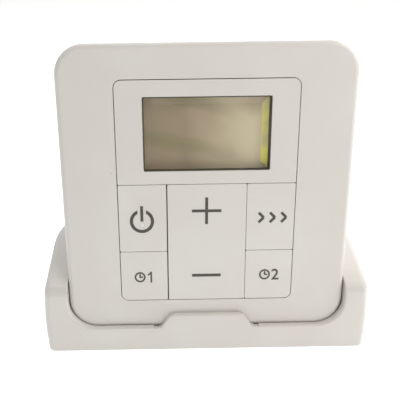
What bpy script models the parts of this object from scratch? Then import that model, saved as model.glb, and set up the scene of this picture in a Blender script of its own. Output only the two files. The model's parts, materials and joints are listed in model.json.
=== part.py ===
"""Programmable heating timer in its desk stand, modelled piece by piece.

The timer is built flat in its own frame: X to the right, Y up its face, Z out of its face, origin at
the middle of the face. An empty, controller_frame, then leans it back into the stand, which is built
upright on the ground. Every size is in millimetres and is turned into metres as a mesh is made.
"""
import math

import bmesh
import bpy
from mathutils import Matrix, Vector

MM = 0.001

# Whole object
LEAN = math.radians(15)
FACE_CENTRE_BACK = -9.48
FACE_CENTRE_HEIGHT = 47.0
GAP = 0.3

# Case of the timer
FACE = 84.0
FACE_CORNER = 8.5
FACE_EDGE = 1.8
FACE_EDGE_STEPS = 6
RIM_EDGE = 0.8
WALL = 2.0
FRONT_DEPTH = 7.0
RIM_DEPTH = 9.8
TOTAL_DEPTH = 25.0
HOUSING = 72.0
HOUSING_REAR = 70.0
HOUSING_CORNER = 6.0
HOUSING_CAVITY = 68.0
CAVITY_DEPTH = 22.0
SCREW_AT = 36.4
BOSS_RADIUS = 2.6
SCREW_HOLE_RADIUS = 1.3
SCREW_HEAD_SPACE = 2.3
ROUND_SIDES = 16
SMALL_SIDES = 12

# Inset panel: the display fascia above, five keys below
PANEL_HALF = 25.75
PANEL_TOP = 32.2
PANEL_BOTTOM = -32.8
PANEL_CORNER = 2.0
FASCIA_LINE = 3.07
ROCKER_HALF = 11.65
ROW_LINE = -17.2
SEAM = GAP / 2
KEY_THICKNESS = 2.0
KEY_EDGE = 0.3
STEM = 3.0
STEM_END = -5.2
FOOT_HEIGHT = 0.5
FOOT_OVERHANG = 0.8
KEY_CORNER = 0.4
AXLE_RADIUS = 0.9
AXLE_LENGTH = 18.0
AXLE_CLEARANCE = 0.35
CARRIER_FRONT = -2.3
CARRIER_BACK = -4.4
CARRIER_FLOOR = -3.2
SADDLE_BACK = -5.4

# Display
WINDOW_HALF = 17.75
WINDOW_LOW = 7.22
WINDOW_HIGH = 27.62
GASKET_WALL = 0.25
FASCIA_THICKNESS = 2.4
WINDOW_LEDGE = 1.2
WINDOW_CORNER = 0.4
PANE_CORNER = 0.2
PANE_FRONT = -0.3
PANE_BACK = -2.4
LEDGE_LOW = 4.4
LEDGE_HIGH = 38.0
LEDGE_FRONT = -2.7
LEDGE_BACK = -3.9
LCD_HALF = 20.3
LCD_LOW = 4.8
LCD_HIGH = 30.0
LCD_FRONT = -2.75
LCD_BACK = -4.4
LIGHT_FRONT = -4.7
LIGHT_BACK = -7.6
HOLDER_BACK = -8.3

# Circuit board and switches
BOARD_HALF = 32.5
BOARD_FRONT = -8.6
BOARD_BACK = -10.2
POST_AT = 29.5
BOARD_SCREW_PLACES = [(-POST_AT, POST_AT), (POST_AT, -POST_AT)]
SWITCH_SIZE = 6.2
SWITCH_TOP = -6.4
PLUNGER_RADIUS = 1.7
PLUNGER_TOP = -5.5
PLUNGER_FOOT = -7.3
ROCKER_AXIS = -3.0
SWITCH_PLACES = {
    "power": (-18.7, -13.2),
    "program_1": (-18.7, -25.0),
    "plus": (0.0, -4.8),
    "minus": (0.0, -25.0),
    "boost": (18.7, -7.1),
    "program_2": (18.7, -25.0),
}
INDICATOR_AT = (-18.75, -9.0)
LIGHT_PIPE_RADIUS = 0.6

# Battery bay
CELL_RADIUS = 5.25
CELL_LENGTH = 44.5
CELL_DEPTH = -17.4
CELL_ROWS = {"lower": 7.2, "upper": 18.6}
BAY_HALF = 25.0
BAY_LOW = 1.45
BAY_HIGH = 24.35
BAY_WALL = 1.2
BAY_FLOOR = -11.8
OPEN_DEPTH = -30.0
CONTACT_HALF = 4.4
CONTACT_THICKNESS = 0.4
CONTACT_GAP = 0.1
SPRING_WIRE = 0.3
DOOR_INNER = -23.4
DOOR_HALF = 27.2
DOOR_DRAFT = 1.0
DOOR_LOW = -2.7
DOOR_HIGH = 34.9

# Stand, upright: X to the right, Y to the back, Z up from the ground
STAND_HALF = 49.3
STAND_BULGE = 0.45
STAND_FRONT = -23.83
STAND_BACK = 14.24
STAND_FLOAT = 0.2
STAND_FRONT_CORNER = 2.5
STAND_REAR_CORNER = 13.0
STAND_WALL = 2.2
SHOULDER_HEIGHT = 19.9
SHOULDER_BACK = -17.56
SHOULDER_SLOPE = 0.328
POCKET_CLEARANCE = 0.35
LIP_HEIGHT = -41.4
TAB_TOP = -37.2
TAB_TOP_HALF = 11.0
TAB_FOOT_HALF = 14.7
NOTCH_DEPTH = 0.5
NOTCH_WIDTH = 1.5
BASE_THICKNESS = 1.6
FOOT_TOP = 0.8
FOOT_RADIUS = 4.0
OPEN_HEIGHT = 60.0
FOOT_PLACES = [(-37.0, -15.5), (37.0, -15.5), (-34.0, 6.5), (34.0, 6.5)]
BASE_SCREW_PLACES = [(-25.0, -18.3), (25.0, -18.3), (-41.7, 1.0), (41.7, 1.0)]

FINISHES = {
    "white_plastic": ((0.65, 0.62, 0.57), 0.42, 0.0),
    "key_plastic": ((0.66, 0.63, 0.58), 0.38, 0.0),
    "dark_plastic": ((0.03, 0.03, 0.03), 0.5, 0.0),
    "clear_plastic": ((0.9, 0.92, 0.9), 0.08, 0.0),
    "display_glass": ((0.28, 0.28, 0.2), 0.15, 0.0),
    "diffuser": ((0.6, 0.7, 0.3), 0.5, 0.0),
    "rubber": ((0.05, 0.05, 0.05), 0.8, 0.0),
    "circuit_board": ((0.02, 0.16, 0.06), 0.45, 0.0),
    "chip_resin": ((0.02, 0.02, 0.022), 0.6, 0.0),
    "steel": ((0.6, 0.6, 0.58), 0.3, 1.0),
    "brass": ((0.75, 0.6, 0.3), 0.3, 1.0),
    "battery_sleeve": ((0.05, 0.12, 0.3), 0.3, 0.0),
}

for old_object in list(bpy.data.objects):
    bpy.data.objects.remove(old_object, do_unlink=True)

parts = bpy.data.collections.new("programmable_timer")
cutters = bpy.data.collections.new("cutters")
bpy.context.scene.collection.children.link(parts)
bpy.context.scene.collection.children.link(cutters)

controller_frame = bpy.data.objects.new("controller_frame", None)
parts.objects.link(controller_frame)
controller_frame.location = (0, FACE_CENTRE_BACK * MM, FACE_CENTRE_HEIGHT * MM)
controller_frame.rotation_euler = (math.radians(90) - LEAN, 0, 0)


# --- Outlines -----------------------------------------------------------------------------------

def rounded(points, steps=5):
    """Closed outline through (x, y, radius) points, each one turned by an arc."""
    outline = []
    for index, (x, y, radius) in enumerate(points):
        corner = Vector((x, y))
        if radius == 0:
            outline.append(corner)
            continue
        before = (Vector(points[index - 1][:2]) - corner).normalized()
        after = (Vector(points[(index + 1) % len(points)][:2]) - corner).normalized()
        half_angle = before.angle(after) / 2
        centre = corner + (before + after).normalized() * radius / math.sin(half_angle)
        start = corner + before * radius / math.tan(half_angle) - centre
        end = corner + after * radius / math.tan(half_angle) - centre
        sweep = math.atan2(start.x * end.y - start.y * end.x, start.dot(end))
        for step in range(steps + 1):
            outline.append(centre + Matrix.Rotation(sweep * step / steps, 2) @ start)
    return outline


def rectangle(x_low, x_high, y_low, y_high, radius=0.0, steps=5):
    upper = [(x_high, y_high, radius), (x_low, y_high, radius)]
    lower = [(x_low, y_low, radius), (x_high, y_low, radius)]
    return rounded(upper + lower, steps)


def square(size, radius, steps=5):
    return rectangle(-size / 2, size / 2, -size / 2, size / 2, radius, steps)


def corners(reach):
    return [(x, y) for x in (-reach, reach) for y in (-reach, reach)]


# --- Solids -------------------------------------------------------------------------------------

def link(name, mesh, collection):
    obj = bpy.data.objects.new(name, mesh)
    collection.objects.link(obj)
    return obj


def as_mesh(holder):
    """The finished mesh of an object that was only needed to make it."""
    graph = bpy.context.evaluated_depsgraph_get()
    mesh = bpy.data.meshes.new_from_object(holder.evaluated_get(graph))
    data = holder.data
    bpy.data.objects.remove(holder)
    if isinstance(data, bpy.types.Curve):
        bpy.data.curves.remove(data)
    else:
        bpy.data.meshes.remove(data)
    return mesh


def edit(mesh, action):
    shape = bmesh.new()
    shape.from_mesh(mesh)
    action(shape)
    shape.to_mesh(mesh)
    shape.free()
    return mesh


def plate(outlines, low, high):
    """Flat piece between two heights. The first outline is its edge, the others are holes."""
    curve = bpy.data.curves.new("outline", "CURVE")
    curve.dimensions = "2D"
    curve.fill_mode = "BOTH"
    curve.extrude = (high - low) / 2
    for outline in outlines:
        spline = curve.splines.new("POLY")
        spline.points.add(len(outline) - 1)
        for point, place in zip(spline.points, outline):
            point.co = (place[0], place[1], 0, 1)
        spline.use_cyclic_u = True
    mesh = as_mesh(link("outline", curve, parts))
    mesh.transform(Matrix.Translation((0, 0, (low + high) / 2)))

    def weld(shape):
        bmesh.ops.remove_doubles(shape, verts=shape.verts, dist=0.001)
        if len(outlines) == 1:
            bmesh.ops.dissolve_limit(
                shape, angle_limit=math.radians(1), verts=shape.verts, edges=shape.edges
            )

    edit(mesh, weld)
    mesh.transform(Matrix.Scale(MM, 4))
    return mesh


def box(x_low, x_high, y_low, y_high, z_low, z_high):
    mesh = bpy.data.meshes.new("box")
    size = Matrix.Diagonal((x_high - x_low, y_high - y_low, z_high - z_low, 1))
    middle = Vector((x_low + x_high, y_low + y_high, z_low + z_high)) / 2
    place = Matrix.Scale(MM, 4) @ Matrix.Translation(middle) @ size
    return edit(mesh, lambda shape: bmesh.ops.create_cube(shape, size=1, matrix=place))


def rod(centre, radius, length, axis="Z", sides=16):
    """Cylinder centred on a point, along one axis."""
    turns = {"X": Matrix.Rotation(math.radians(90), 4, "Y"), "Z": Matrix.Identity(4)}
    place = Matrix.Scale(MM, 4) @ Matrix.Translation(centre) @ turns[axis]
    mesh = bpy.data.meshes.new("rod")
    return edit(mesh, lambda shape: bmesh.ops.create_cone(
        shape, cap_ends=True, segments=sides, radius1=radius, radius2=radius, depth=length,
        matrix=place))


def turned(profile, sides=20):
    """Solid turned about Z from (radius, height) points that run from its top to its bottom."""
    mesh = bpy.data.meshes.new("profile")
    points = [(radius * MM, 0, height * MM) for radius, height in profile]
    mesh.from_pydata(points, [(i, i + 1) for i in range(len(points) - 1)], [])
    holder = link("profile", mesh, parts)
    screw = holder.modifiers.new("turn", "SCREW")
    screw.steps = sides
    screw.render_steps = sides
    screw.use_merge_vertices = True
    screw.merge_threshold = 0.00001
    return as_mesh(holder)


def moved(mesh, x, y, z, turn=None):
    copy = mesh.copy()
    copy.transform(Matrix.Translation(Vector((x, y, z)) * MM) @ (turn or Matrix.Identity(4)))
    return copy


def soften(mesh, width, segments, chosen):
    """Rounds the edges whose middle, in millimetres, passes the test."""
    def bevel(shape):
        edges = []
        for edge in shape.edges:
            middle = (edge.verts[0].co + edge.verts[1].co) / 2 / MM
            if len(edge.link_faces) == 2 and edge.calc_face_angle() > math.radians(40):
                if chosen(middle):
                    edges.append(edge)
        bmesh.ops.bevel(
            shape, geom=edges, offset=width * MM, segments=segments, profile=0.5, affect="EDGES"
        )

    return edit(mesh, bevel)


def combine(target, operation, meshes, frame):
    """Adds a Boolean modifier to an object for each mesh, which becomes a hidden guide."""
    for mesh in meshes:
        guide = mesh if isinstance(mesh, bpy.types.Object) else link("guide", mesh, cutters)
        guide.parent = frame
        guide.hide_render = True
        guide.display_type = "WIRE"
        modifier = target.modifiers.new(operation.lower(), "BOOLEAN")
        modifier.operation = operation
        modifier.solver = "EXACT"
        modifier.object = guide
    return target


def piece(name, mesh, finish, frame=controller_frame, add=(), cut=(), at=None):
    """One named part of the object, in its frame, with material and finished modifiers."""
    obj = link(name, mesh, parts)
    obj.parent = frame
    combine(obj, "UNION", add, frame)
    combine(obj, "DIFFERENCE", cut, frame)
    colour, roughness, metallic = FINISHES[finish]
    material = bpy.data.materials.new(name + "_material")
    material.use_nodes = True
    shader = material.node_tree.nodes["Principled BSDF"]
    shader.inputs["Base Color"].default_value = (*colour, 1)
    shader.inputs["Roughness"].default_value = roughness
    shader.inputs["Metallic"].default_value = metallic
    mesh.materials.append(material)
    mesh.shade_smooth()
    mesh.set_sharp_from_angle(angle=math.radians(35))
    if at is not None:
        origin = Vector(at) * MM
        mesh.transform(Matrix.Translation(-origin))
        obj.location = origin
    return obj


# --- Timer: front of the case -------------------------------------------------------------------

def make_front_bezel():
    """Square front moulding with a soft face edge, the panel opening and four screw bosses."""
    shell = plate([square(FACE, FACE_CORNER, 7)], -FRONT_DEPTH, 0)
    soften(shell, FACE_EDGE, FACE_EDGE_STEPS, lambda at: at.z > -0.01)
    hollow = plate([square(FACE - 2 * WALL, FACE_CORNER - WALL, 5)], -FRONT_DEPTH - 1, -WALL)
    half = PANEL_HALF + SEAM
    opening = plate([rectangle(-half, half, PANEL_BOTTOM - SEAM, PANEL_TOP + SEAM,
                               PANEL_CORNER + SEAM)], -WALL - 1, 1)
    shelf = 1.5
    overlap = 0.5
    below = LEDGE_LOW - 2
    ledge_half = PANEL_HALF - shelf
    ledge_outer = ledge_half + 6
    around = rectangle(-ledge_outer, ledge_outer, LEDGE_LOW, LEDGE_HIGH)
    ledge_inner = rectangle(-ledge_half, ledge_half, below, PANEL_TOP - 1.4, 1.0)
    ledge = link("ledge", plate([around], LEDGE_BACK, LEDGE_FRONT), cutters)
    combine(ledge, "DIFFERENCE", [plate([ledge_inner], -5, -1)], controller_frame)
    riser_inner = rectangle(-half, half, below, PANEL_TOP + SEAM, PANEL_CORNER)
    riser = link("riser", plate([around], LEDGE_FRONT - overlap, -WALL + overlap), cutters)
    combine(riser, "DIFFERENCE", [plate([riser_inner], -5, 1)], controller_frame)
    boss_length = 5.4
    hole_length = 5.0
    boss_middle = -4.2
    hole_middle = -5.5
    bosses = [rod((x, y, boss_middle), BOSS_RADIUS, boss_length) for x, y in corners(SCREW_AT)]
    holes = [rod((x, y, hole_middle), SCREW_HOLE_RADIUS, hole_length, sides=SMALL_SIDES)
             for x, y in corners(SCREW_AT)]
    bezel = piece("front_bezel", shell, "white_plastic", cut=[hollow])
    combine(bezel, "UNION", [riser, ledge, *bosses], controller_frame)
    combine(bezel, "DIFFERENCE", [opening, *holes], controller_frame)
    return bezel


def window_outline(grow, corner):
    return rectangle(-WINDOW_HALF - grow, WINDOW_HALF + grow, WINDOW_LOW - grow,
                     WINDOW_HIGH + grow, corner, 2)


def make_display():
    """Fascia, the clear pane in its dark gasket, and the display cell on its light guide."""
    half = PANEL_HALF - SEAM
    low = FASCIA_LINE + SEAM
    high = PANEL_TOP - SEAM
    edge = rounded([(half, high, PANEL_CORNER), (-half, high, PANEL_CORNER),
                    (-half, low, KEY_CORNER), (half, low, KEY_CORNER)], 4)
    fascia = plate([edge], -FASCIA_THICKNESS, 0)
    soften(fascia, KEY_EDGE, 2, lambda at: at.z > -0.01)
    seat_reach = 2.0
    flange_reach = 1.65
    pane_reach = -SEAM - GASKET_WALL
    window = plate([window_outline(0, WINDOW_CORNER)], -4, 1)
    seat = plate([window_outline(seat_reach, 0.5)], -4, -WINDOW_LEDGE)
    piece("display_fascia", fascia, "white_plastic", cut=[window, seat])
    lining = plate([window_outline(-SEAM, WINDOW_CORNER)], -2.0, PANE_FRONT - 0.1)
    flange = plate([window_outline(flange_reach, WINDOW_CORNER)], -2.6, -WINDOW_LEDGE - GAP)
    pane_space = plate([window_outline(pane_reach, PANE_CORNER)], -4, 1)
    piece("display_gasket", flange, "rubber", add=[lining], cut=[pane_space])
    pane = plate([window_outline(pane_reach - SEAM, PANE_CORNER)], PANE_BACK, PANE_FRONT)
    piece("display_window", pane, "clear_plastic")
    cell = box(-LCD_HALF, LCD_HALF, LCD_LOW, LCD_HIGH, LCD_BACK, LCD_FRONT)
    piece("lcd_cell", cell, "display_glass")
    strip_low = 5.1
    strip_high = 6.6
    light_low = 7.2
    light = box(-LCD_HALF, LCD_HALF, light_low, LCD_HIGH, LIGHT_BACK, LIGHT_FRONT)
    piece("lcd_backlight", light, "diffuser")
    clearance = 0.4
    wall = 1.6
    inside = LCD_HALF + clearance
    outside = inside + wall
    holder = plate([rectangle(-outside, outside, 3.6, 31.4, 1.0, 2),
                    rectangle(-inside, inside, LCD_LOW - clearance, LCD_HIGH + clearance, 0.5, 2)],
                   HOLDER_BACK, LCD_BACK + 0.2)
    piece("lcd_holder", holder, "white_plastic")
    strip = box(-19.0, 19.0, strip_low, strip_high, HOLDER_BACK, LIGHT_FRONT)
    piece("lcd_contact_strip", strip, "rubber")


# --- Timer: keys and switches -------------------------------------------------------------------

def key_cap(x_low, x_high, y_low, y_high, radii):
    """Cap of a key with a soft front edge. Radii go round from the upper right corner."""
    upper_right, upper_left, lower_left, lower_right = radii
    edge = rounded([(x_high, y_high, upper_right), (x_low, y_high, upper_left),
                    (x_low, y_low, lower_left), (x_high, y_low, lower_right)], 4)
    return soften(plate([edge], -KEY_THICKNESS, 0), KEY_EDGE, 2, lambda at: at.z > -0.01)


def stem(x, y, end=STEM_END):
    """Post that presses a switch, with a foot that keeps the key from falling out."""
    half = STEM / 2
    post = box(x - half, x + half, y - half, y + half, end + 0.2, -KEY_THICKNESS + 0.5)
    low = y - half - FOOT_OVERHANG
    high = y + half + FOOT_OVERHANG
    return [post, box(x - half + 0.1, x + half - 0.1, low, high, end, end + FOOT_HEIGHT)]


def make_keys():
    """Four single keys that sink straight in and the long key that rocks about its middle."""
    outer = PANEL_HALF - SEAM
    inner = ROCKER_HALF + SEAM
    top = FASCIA_LINE - SEAM
    bottom = PANEL_BOTTOM + SEAM
    upper = (ROW_LINE + SEAM, top)
    lower = (bottom, ROW_LINE - SEAM)
    small = KEY_CORNER
    keys = {
        "power": ((-outer, -inner), upper, (small, small, small, small)),
        "program_1": ((-outer, -inner), lower, (small, small, PANEL_CORNER, small)),
        "boost": ((inner, outer), upper, (small, small, small, small)),
        "program_2": ((inner, outer), lower, (small, small, small, PANEL_CORNER)),
    }
    for name, (across, along, radii) in keys.items():
        x, y = SWITCH_PLACES[name]
        cap = key_cap(*across, *along, radii)
        cut = []
        if name == "power":
            cut = [rod((*INDICATOR_AT, -1), LIGHT_PIPE_RADIUS + GAP, 6, sides=ROUND_SIDES)]
        piece("key_" + name, cap, "key_plastic", add=stem(x, y), cut=cut, at=(x, y, 0))
    pipe_top = -0.1
    pipe_end = -5.0
    light = turned([(0, pipe_top), (LIGHT_PIPE_RADIUS, pipe_top), (LIGHT_PIPE_RADIUS, pipe_end),
                    (0, pipe_end)], SMALL_SIDES)
    pipe = moved(light, *INDICATOR_AT, 0)
    piece("power_light_pipe", pipe, "clear_plastic", at=(*INDICATOR_AT, 0))

    rocker_middle = (top + bottom) / 2
    cap = key_cap(-ROCKER_HALF + SEAM, ROCKER_HALF - SEAM, bottom, top, (small,) * 4)
    end = STEM_END + 0.15
    inside_cap = -KEY_THICKNESS + 0.5
    half = STEM / 2
    posts = []
    for sign in ("plus", "minus"):
        x, y = SWITCH_PLACES[sign]
        posts.append(box(x - half, x + half, y - half, y + half, end, inside_cap))
    web = box(-8.8, 8.8, rocker_middle - 0.5, rocker_middle + 0.5, ROCKER_AXIS, inside_cap)
    axle = rod((0, rocker_middle, ROCKER_AXIS), AXLE_RADIUS, AXLE_LENGTH, "X", ROUND_SIDES)
    piece("key_plus_minus", cap, "key_plastic", add=[*posts, web, axle],
          at=(0, rocker_middle, ROCKER_AXIS))
    return rocker_middle


def make_key_carrier(rocker_middle):
    """Frame behind the keys that guides their stems and holds the rocking key's axle."""
    carrier = box(-30.0, 30.0, -36.4, 2.2, CARRIER_BACK, CARRIER_FRONT)
    well = box(-26.3, 26.3, -33.4, 5.0, CARRIER_FLOOR, 0)
    low = rocker_middle - 2.2
    high = rocker_middle + 2.2
    saddle = box(-9.6, 9.6, low, high, SADDLE_BACK, CARRIER_BACK + 0.4)
    slot = AXLE_RADIUS + AXLE_CLEARANCE
    slot_length = AXLE_LENGTH + 2 * GAP
    end = slot_length / 2
    slots = [box(-end, end, rocker_middle - AXLE_RADIUS, rocker_middle + AXLE_RADIUS, -3.6, 0),
             box(-end, end, rocker_middle - slot, rocker_middle + slot, ROCKER_AXIS, 0),
             rod((0, rocker_middle, ROCKER_AXIS), slot, slot_length, "X", ROUND_SIDES)]
    hole = STEM / 2 + GAP
    for x, y in SWITCH_PLACES.values():
        slots.append(box(x - hole, x + hole, y - hole, y + hole, -6, 0))
    x, y = INDICATOR_AT
    slots.append(rod((x, y, -4), LIGHT_PIPE_RADIUS + 0.5, 6, sides=SMALL_SIDES))
    frame = piece("key_carrier", carrier, "white_plastic", cut=[well])
    combine(frame, "UNION", [saddle], controller_frame)
    combine(frame, "DIFFERENCE", slots, controller_frame)


def make_switches():
    """Tact switches on the board: a square body with a bore, and a plunger in the bore."""
    half = SWITCH_SIZE / 2
    for name, (x, y) in SWITCH_PLACES.items():
        body = box(x - half, x + half, y - half, y + half, BOARD_FRONT + 0.1, SWITCH_TOP)
        bore_depth = SWITCH_TOP + 7.9
        bore = rod((x, y, SWITCH_TOP), PLUNGER_RADIUS + GAP, 2 * bore_depth, sides=ROUND_SIDES)
        piece("switch_body_" + name, body, "chip_resin", cut=[bore])
        edge = 0.3
        profile = [(0, PLUNGER_TOP), (PLUNGER_RADIUS - edge, PLUNGER_TOP),
                   (PLUNGER_RADIUS, PLUNGER_TOP - edge), (PLUNGER_RADIUS, PLUNGER_FOOT),
                   (0, PLUNGER_FOOT)]
        plunger = moved(turned(profile, SMALL_SIDES), x, y, 0)
        piece("switch_plunger_" + name, plunger, "dark_plastic", at=(x, y, PLUNGER_TOP))


# --- Timer: circuit board and battery bay -------------------------------------------------------

def make_board():
    """Main board on four posts, with the parts that it carries on both sides."""
    hole_radius = 1.4
    holes = [rod((x, y, BOARD_FRONT), hole_radius, 6, sides=SMALL_SIDES)
             for x, y in BOARD_SCREW_PLACES]
    board = plate([square(2 * BOARD_HALF, 2.5, 2)], BOARD_BACK, BOARD_FRONT)
    piece("main_board", board, "circuit_board", cut=holes)
    behind = BOARD_BACK - 0.1
    piece("processor_chip", box(-5, 5, -17, -7, behind - 1.5, behind), "chip_resin")
    module = box(-27, -12, -22, -8, behind - 2.8, behind)
    piece("radio_module", module, "steel")
    crystal = rod((12, -19, behind - 1.3), 1.2, 7.0, "X", SMALL_SIDES)
    piece("clock_crystal", crystal, "steel")
    capacitor = rod((20, -13, behind - 3.3), 3.1, 9.0, "X", 20)
    piece("supply_capacitor", capacitor, "dark_plastic")
    x, y = INDICATOR_AT
    base = BOARD_FRONT + 0.1
    light = plate([rectangle(x - 1.0, x + 1.0, y - 0.65, y + 0.65)], base, base + 0.8)
    piece("power_indicator", light, "clear_plastic")
    antenna = make_coil((-26, -25.5, behind - 2.2), 16, 1.6, 1.6, 8)
    piece("radio_antenna", antenna, "brass")


def make_coil(start, length, first_radius, last_radius, turns):
    """Wire wound along X from its starting point, with a radius that may change along it."""
    points_per_turn = 10
    count = turns * points_per_turn
    curve = bpy.data.curves.new("coil", "CURVE")
    curve.dimensions = "3D"
    curve.bevel_depth = SPRING_WIRE
    curve.bevel_resolution = 0
    curve.use_fill_caps = True
    spline = curve.splines.new("POLY")
    spline.points.add(count)
    for index, point in enumerate(spline.points):
        share = index / count
        radius = first_radius + (last_radius - first_radius) * share
        angle = 2 * math.pi * turns * share
        place = Vector((length * share, radius * math.cos(angle), radius * math.sin(angle)))
        point.co = (*(Vector(start) + place), 1)
    mesh = as_mesh(link("coil", curve, parts))
    edit(mesh, lambda shape: bmesh.ops.remove_doubles(shape, verts=shape.verts, dist=0.001))
    mesh.transform(Matrix.Scale(MM, 4))
    return mesh


def make_batteries():
    """Two cells head to tail, with a spring at each flat end and a plate at each button."""
    top = CELL_LENGTH / 2
    button = 1.9
    shoulder = top - 1.0
    edge = 0.4
    profile = [(0, top), (button, top), (button, shoulder), (CELL_RADIUS - edge, shoulder),
               (CELL_RADIUS, shoulder - edge), (CELL_RADIUS, -top + edge),
               (CELL_RADIUS - edge, -top), (0, -top)]
    cell = turned(profile, 24)
    for row, side in (("lower", 1), ("upper", -1)):
        y = CELL_ROWS[row]
        turn = Matrix.Rotation(math.radians(90 * side), 4, "Y")
        piece("battery_" + row, moved(cell, 0, y, CELL_DEPTH, turn), "battery_sleeve")
        spring_start = -side * (BAY_HALF - 0.9)
        reach = side * (BAY_HALF - 0.9 - top - 0.7)
        spring = make_coil((spring_start, y, CELL_DEPTH), reach, 3.6, 2.2, 3)
        if side < 0:
            edit(spring, lambda shape: bmesh.ops.recalc_face_normals(shape, faces=shape.faces))
        piece("battery_spring_" + row, spring, "steel")
    low = CELL_DEPTH - 4.5
    high = CELL_DEPTH + 4.5
    ends = (CELL_ROWS["lower"] - CONTACT_HALF, CELL_ROWS["upper"] + CONTACT_HALF)
    outer = BAY_HALF - CONTACT_GAP
    inner = outer - CONTACT_THICKNESS
    piece("battery_bridge", box(-outer, -inner, *ends, low, high), "steel")
    for row, y in CELL_ROWS.items():
        terminal = box(inner, outer, y - CONTACT_HALF, y + CONTACT_HALF, low, high)
        piece("battery_terminal_" + row, terminal, "steel")


# --- Timer: rear of the case --------------------------------------------------------------------

def make_rear_shell():
    """Rear moulding: a rim like the front one, a smaller housing, the battery bay and posts."""
    rim = plate([square(FACE, FACE_CORNER, 7)], -RIM_DEPTH, -FRONT_DEPTH - GAP)
    soften(rim, RIM_EDGE, 2, lambda at: at.z < -RIM_DEPTH + 0.01)
    housing = plate([square(HOUSING, HOUSING_CORNER, 5)], -TOTAL_DEPTH, -RIM_DEPTH + 1)
    taper = HOUSING_REAR / HOUSING
    for vertex in housing.vertices:
        if vertex.co.z < (-TOTAL_DEPTH + 1) * MM:
            vertex.co.x *= taper
            vertex.co.y *= taper
    soften(housing, 1.2, 2, lambda at: at.z < -TOTAL_DEPTH + 0.01)

    cavity_mesh = plate([square(HOUSING_CAVITY, HOUSING_CORNER - 2, 3)], -CAVITY_DEPTH, 0)
    for vertex in cavity_mesh.vertices:
        if vertex.co.z < (-CAVITY_DEPTH + 1) * MM:
            vertex.co.x *= taper
            vertex.co.y *= taper
    cavity = link("cavity", cavity_mesh, cutters)
    outer_half = BAY_HALF + BAY_WALL
    tub = box(-outer_half, outer_half, BAY_LOW - BAY_WALL, BAY_HIGH + BAY_WALL, OPEN_DEPTH,
              BAY_FLOOR + BAY_WALL)
    posts = [rod((x, y, -20), BOSS_RADIUS, 19, sides=ROUND_SIDES) for x, y in corners(POST_AT)]
    combine(cavity, "DIFFERENCE", [tub, *posts], controller_frame)

    bay = box(-BAY_HALF, BAY_HALF, BAY_LOW, BAY_HIGH, OPEN_DEPTH, BAY_FLOOR)
    screw_holes = [rod((x, y, -9), SCREW_HOLE_RADIUS, 8, sides=SMALL_SIDES)
                   for x, y in corners(SCREW_AT)]
    heads = [rod((x, y, -RIM_DEPTH), SCREW_HEAD_SPACE, 3.0, sides=ROUND_SIDES)
             for x, y in corners(SCREW_AT)]
    pilot = [rod((x, y, -11.5), SCREW_HOLE_RADIUS, 9, sides=SMALL_SIDES)
             for x, y in BOARD_SCREW_PLACES]
    recess = door_wedge(GAP, DOOR_LOW - GAP, HOUSING, DOOR_INNER + GAP, -TOTAL_DEPTH - 1)
    piece("rear_shell", rim, "white_plastic", add=[housing],
          cut=[cavity, bay, recess, *screw_holes, *heads, *pilot])


def door_wedge(growth, low, high, inner, outer):
    """Dovetail strip along Y: wider at its inner face, so that it can only slide out."""
    slope = DOOR_DRAFT / (TOTAL_DEPTH + DOOR_INNER)
    inner_half = DOOR_HALF + growth + slope * (inner - DOOR_INNER)
    outer_half = DOOR_HALF + growth + slope * (outer - DOOR_INNER)
    outline = [(inner_half, -inner), (-inner_half, -inner), (-outer_half, -outer),
               (outer_half, -outer)]
    strip = plate([outline], low, high)
    strip.transform(Matrix.Rotation(math.radians(-90), 4, "X"))
    return strip


def make_battery_door():
    """Sliding cover of the battery bay, with three grip grooves for the thumb."""
    door = door_wedge(0, DOOR_LOW, DOOR_HIGH, DOOR_INNER, -TOTAL_DEPTH)
    grooves = [box(-8, 8, y - 0.5, y + 0.5, -TOTAL_DEPTH - 1, -TOTAL_DEPTH + 0.5)
               for y in (2.0, 4.0, 6.0)]
    middle = (0, (DOOR_LOW + DOOR_HIGH) / 2, DOOR_INNER)
    piece("battery_door", door, "white_plastic", cut=grooves, at=middle)


def make_screw(head_radius, head_height, shank_radius, length):
    """Pan-head screw that points down, with its head's underside at height zero."""
    edge = 0.3
    tip = 0.8
    profile = [(0, head_height), (head_radius - edge, head_height),
               (head_radius, head_height - edge), (head_radius, 0), (shank_radius, 0),
               (shank_radius, -length + tip), (0, -length)]
    return turned(profile, SMALL_SIDES)


def make_case_screws():
    """Four screws from behind into the front moulding, and two that hold the board."""
    screw = make_screw(1.9, 1.0, 1.0, 5.6)
    over = Matrix.Rotation(math.radians(180), 4, "X")
    for number, (x, y) in enumerate(corners(SCREW_AT), 1):
        piece(f"case_screw_{number}", moved(screw, x, y, -8.6, over), "steel")
    for number, (x, y) in enumerate(BOARD_SCREW_PLACES, 1):
        piece(f"board_screw_{number}", moved(screw, x, y, BOARD_FRONT + 0.1), "steel")


# --- Stand --------------------------------------------------------------------------------------

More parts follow.
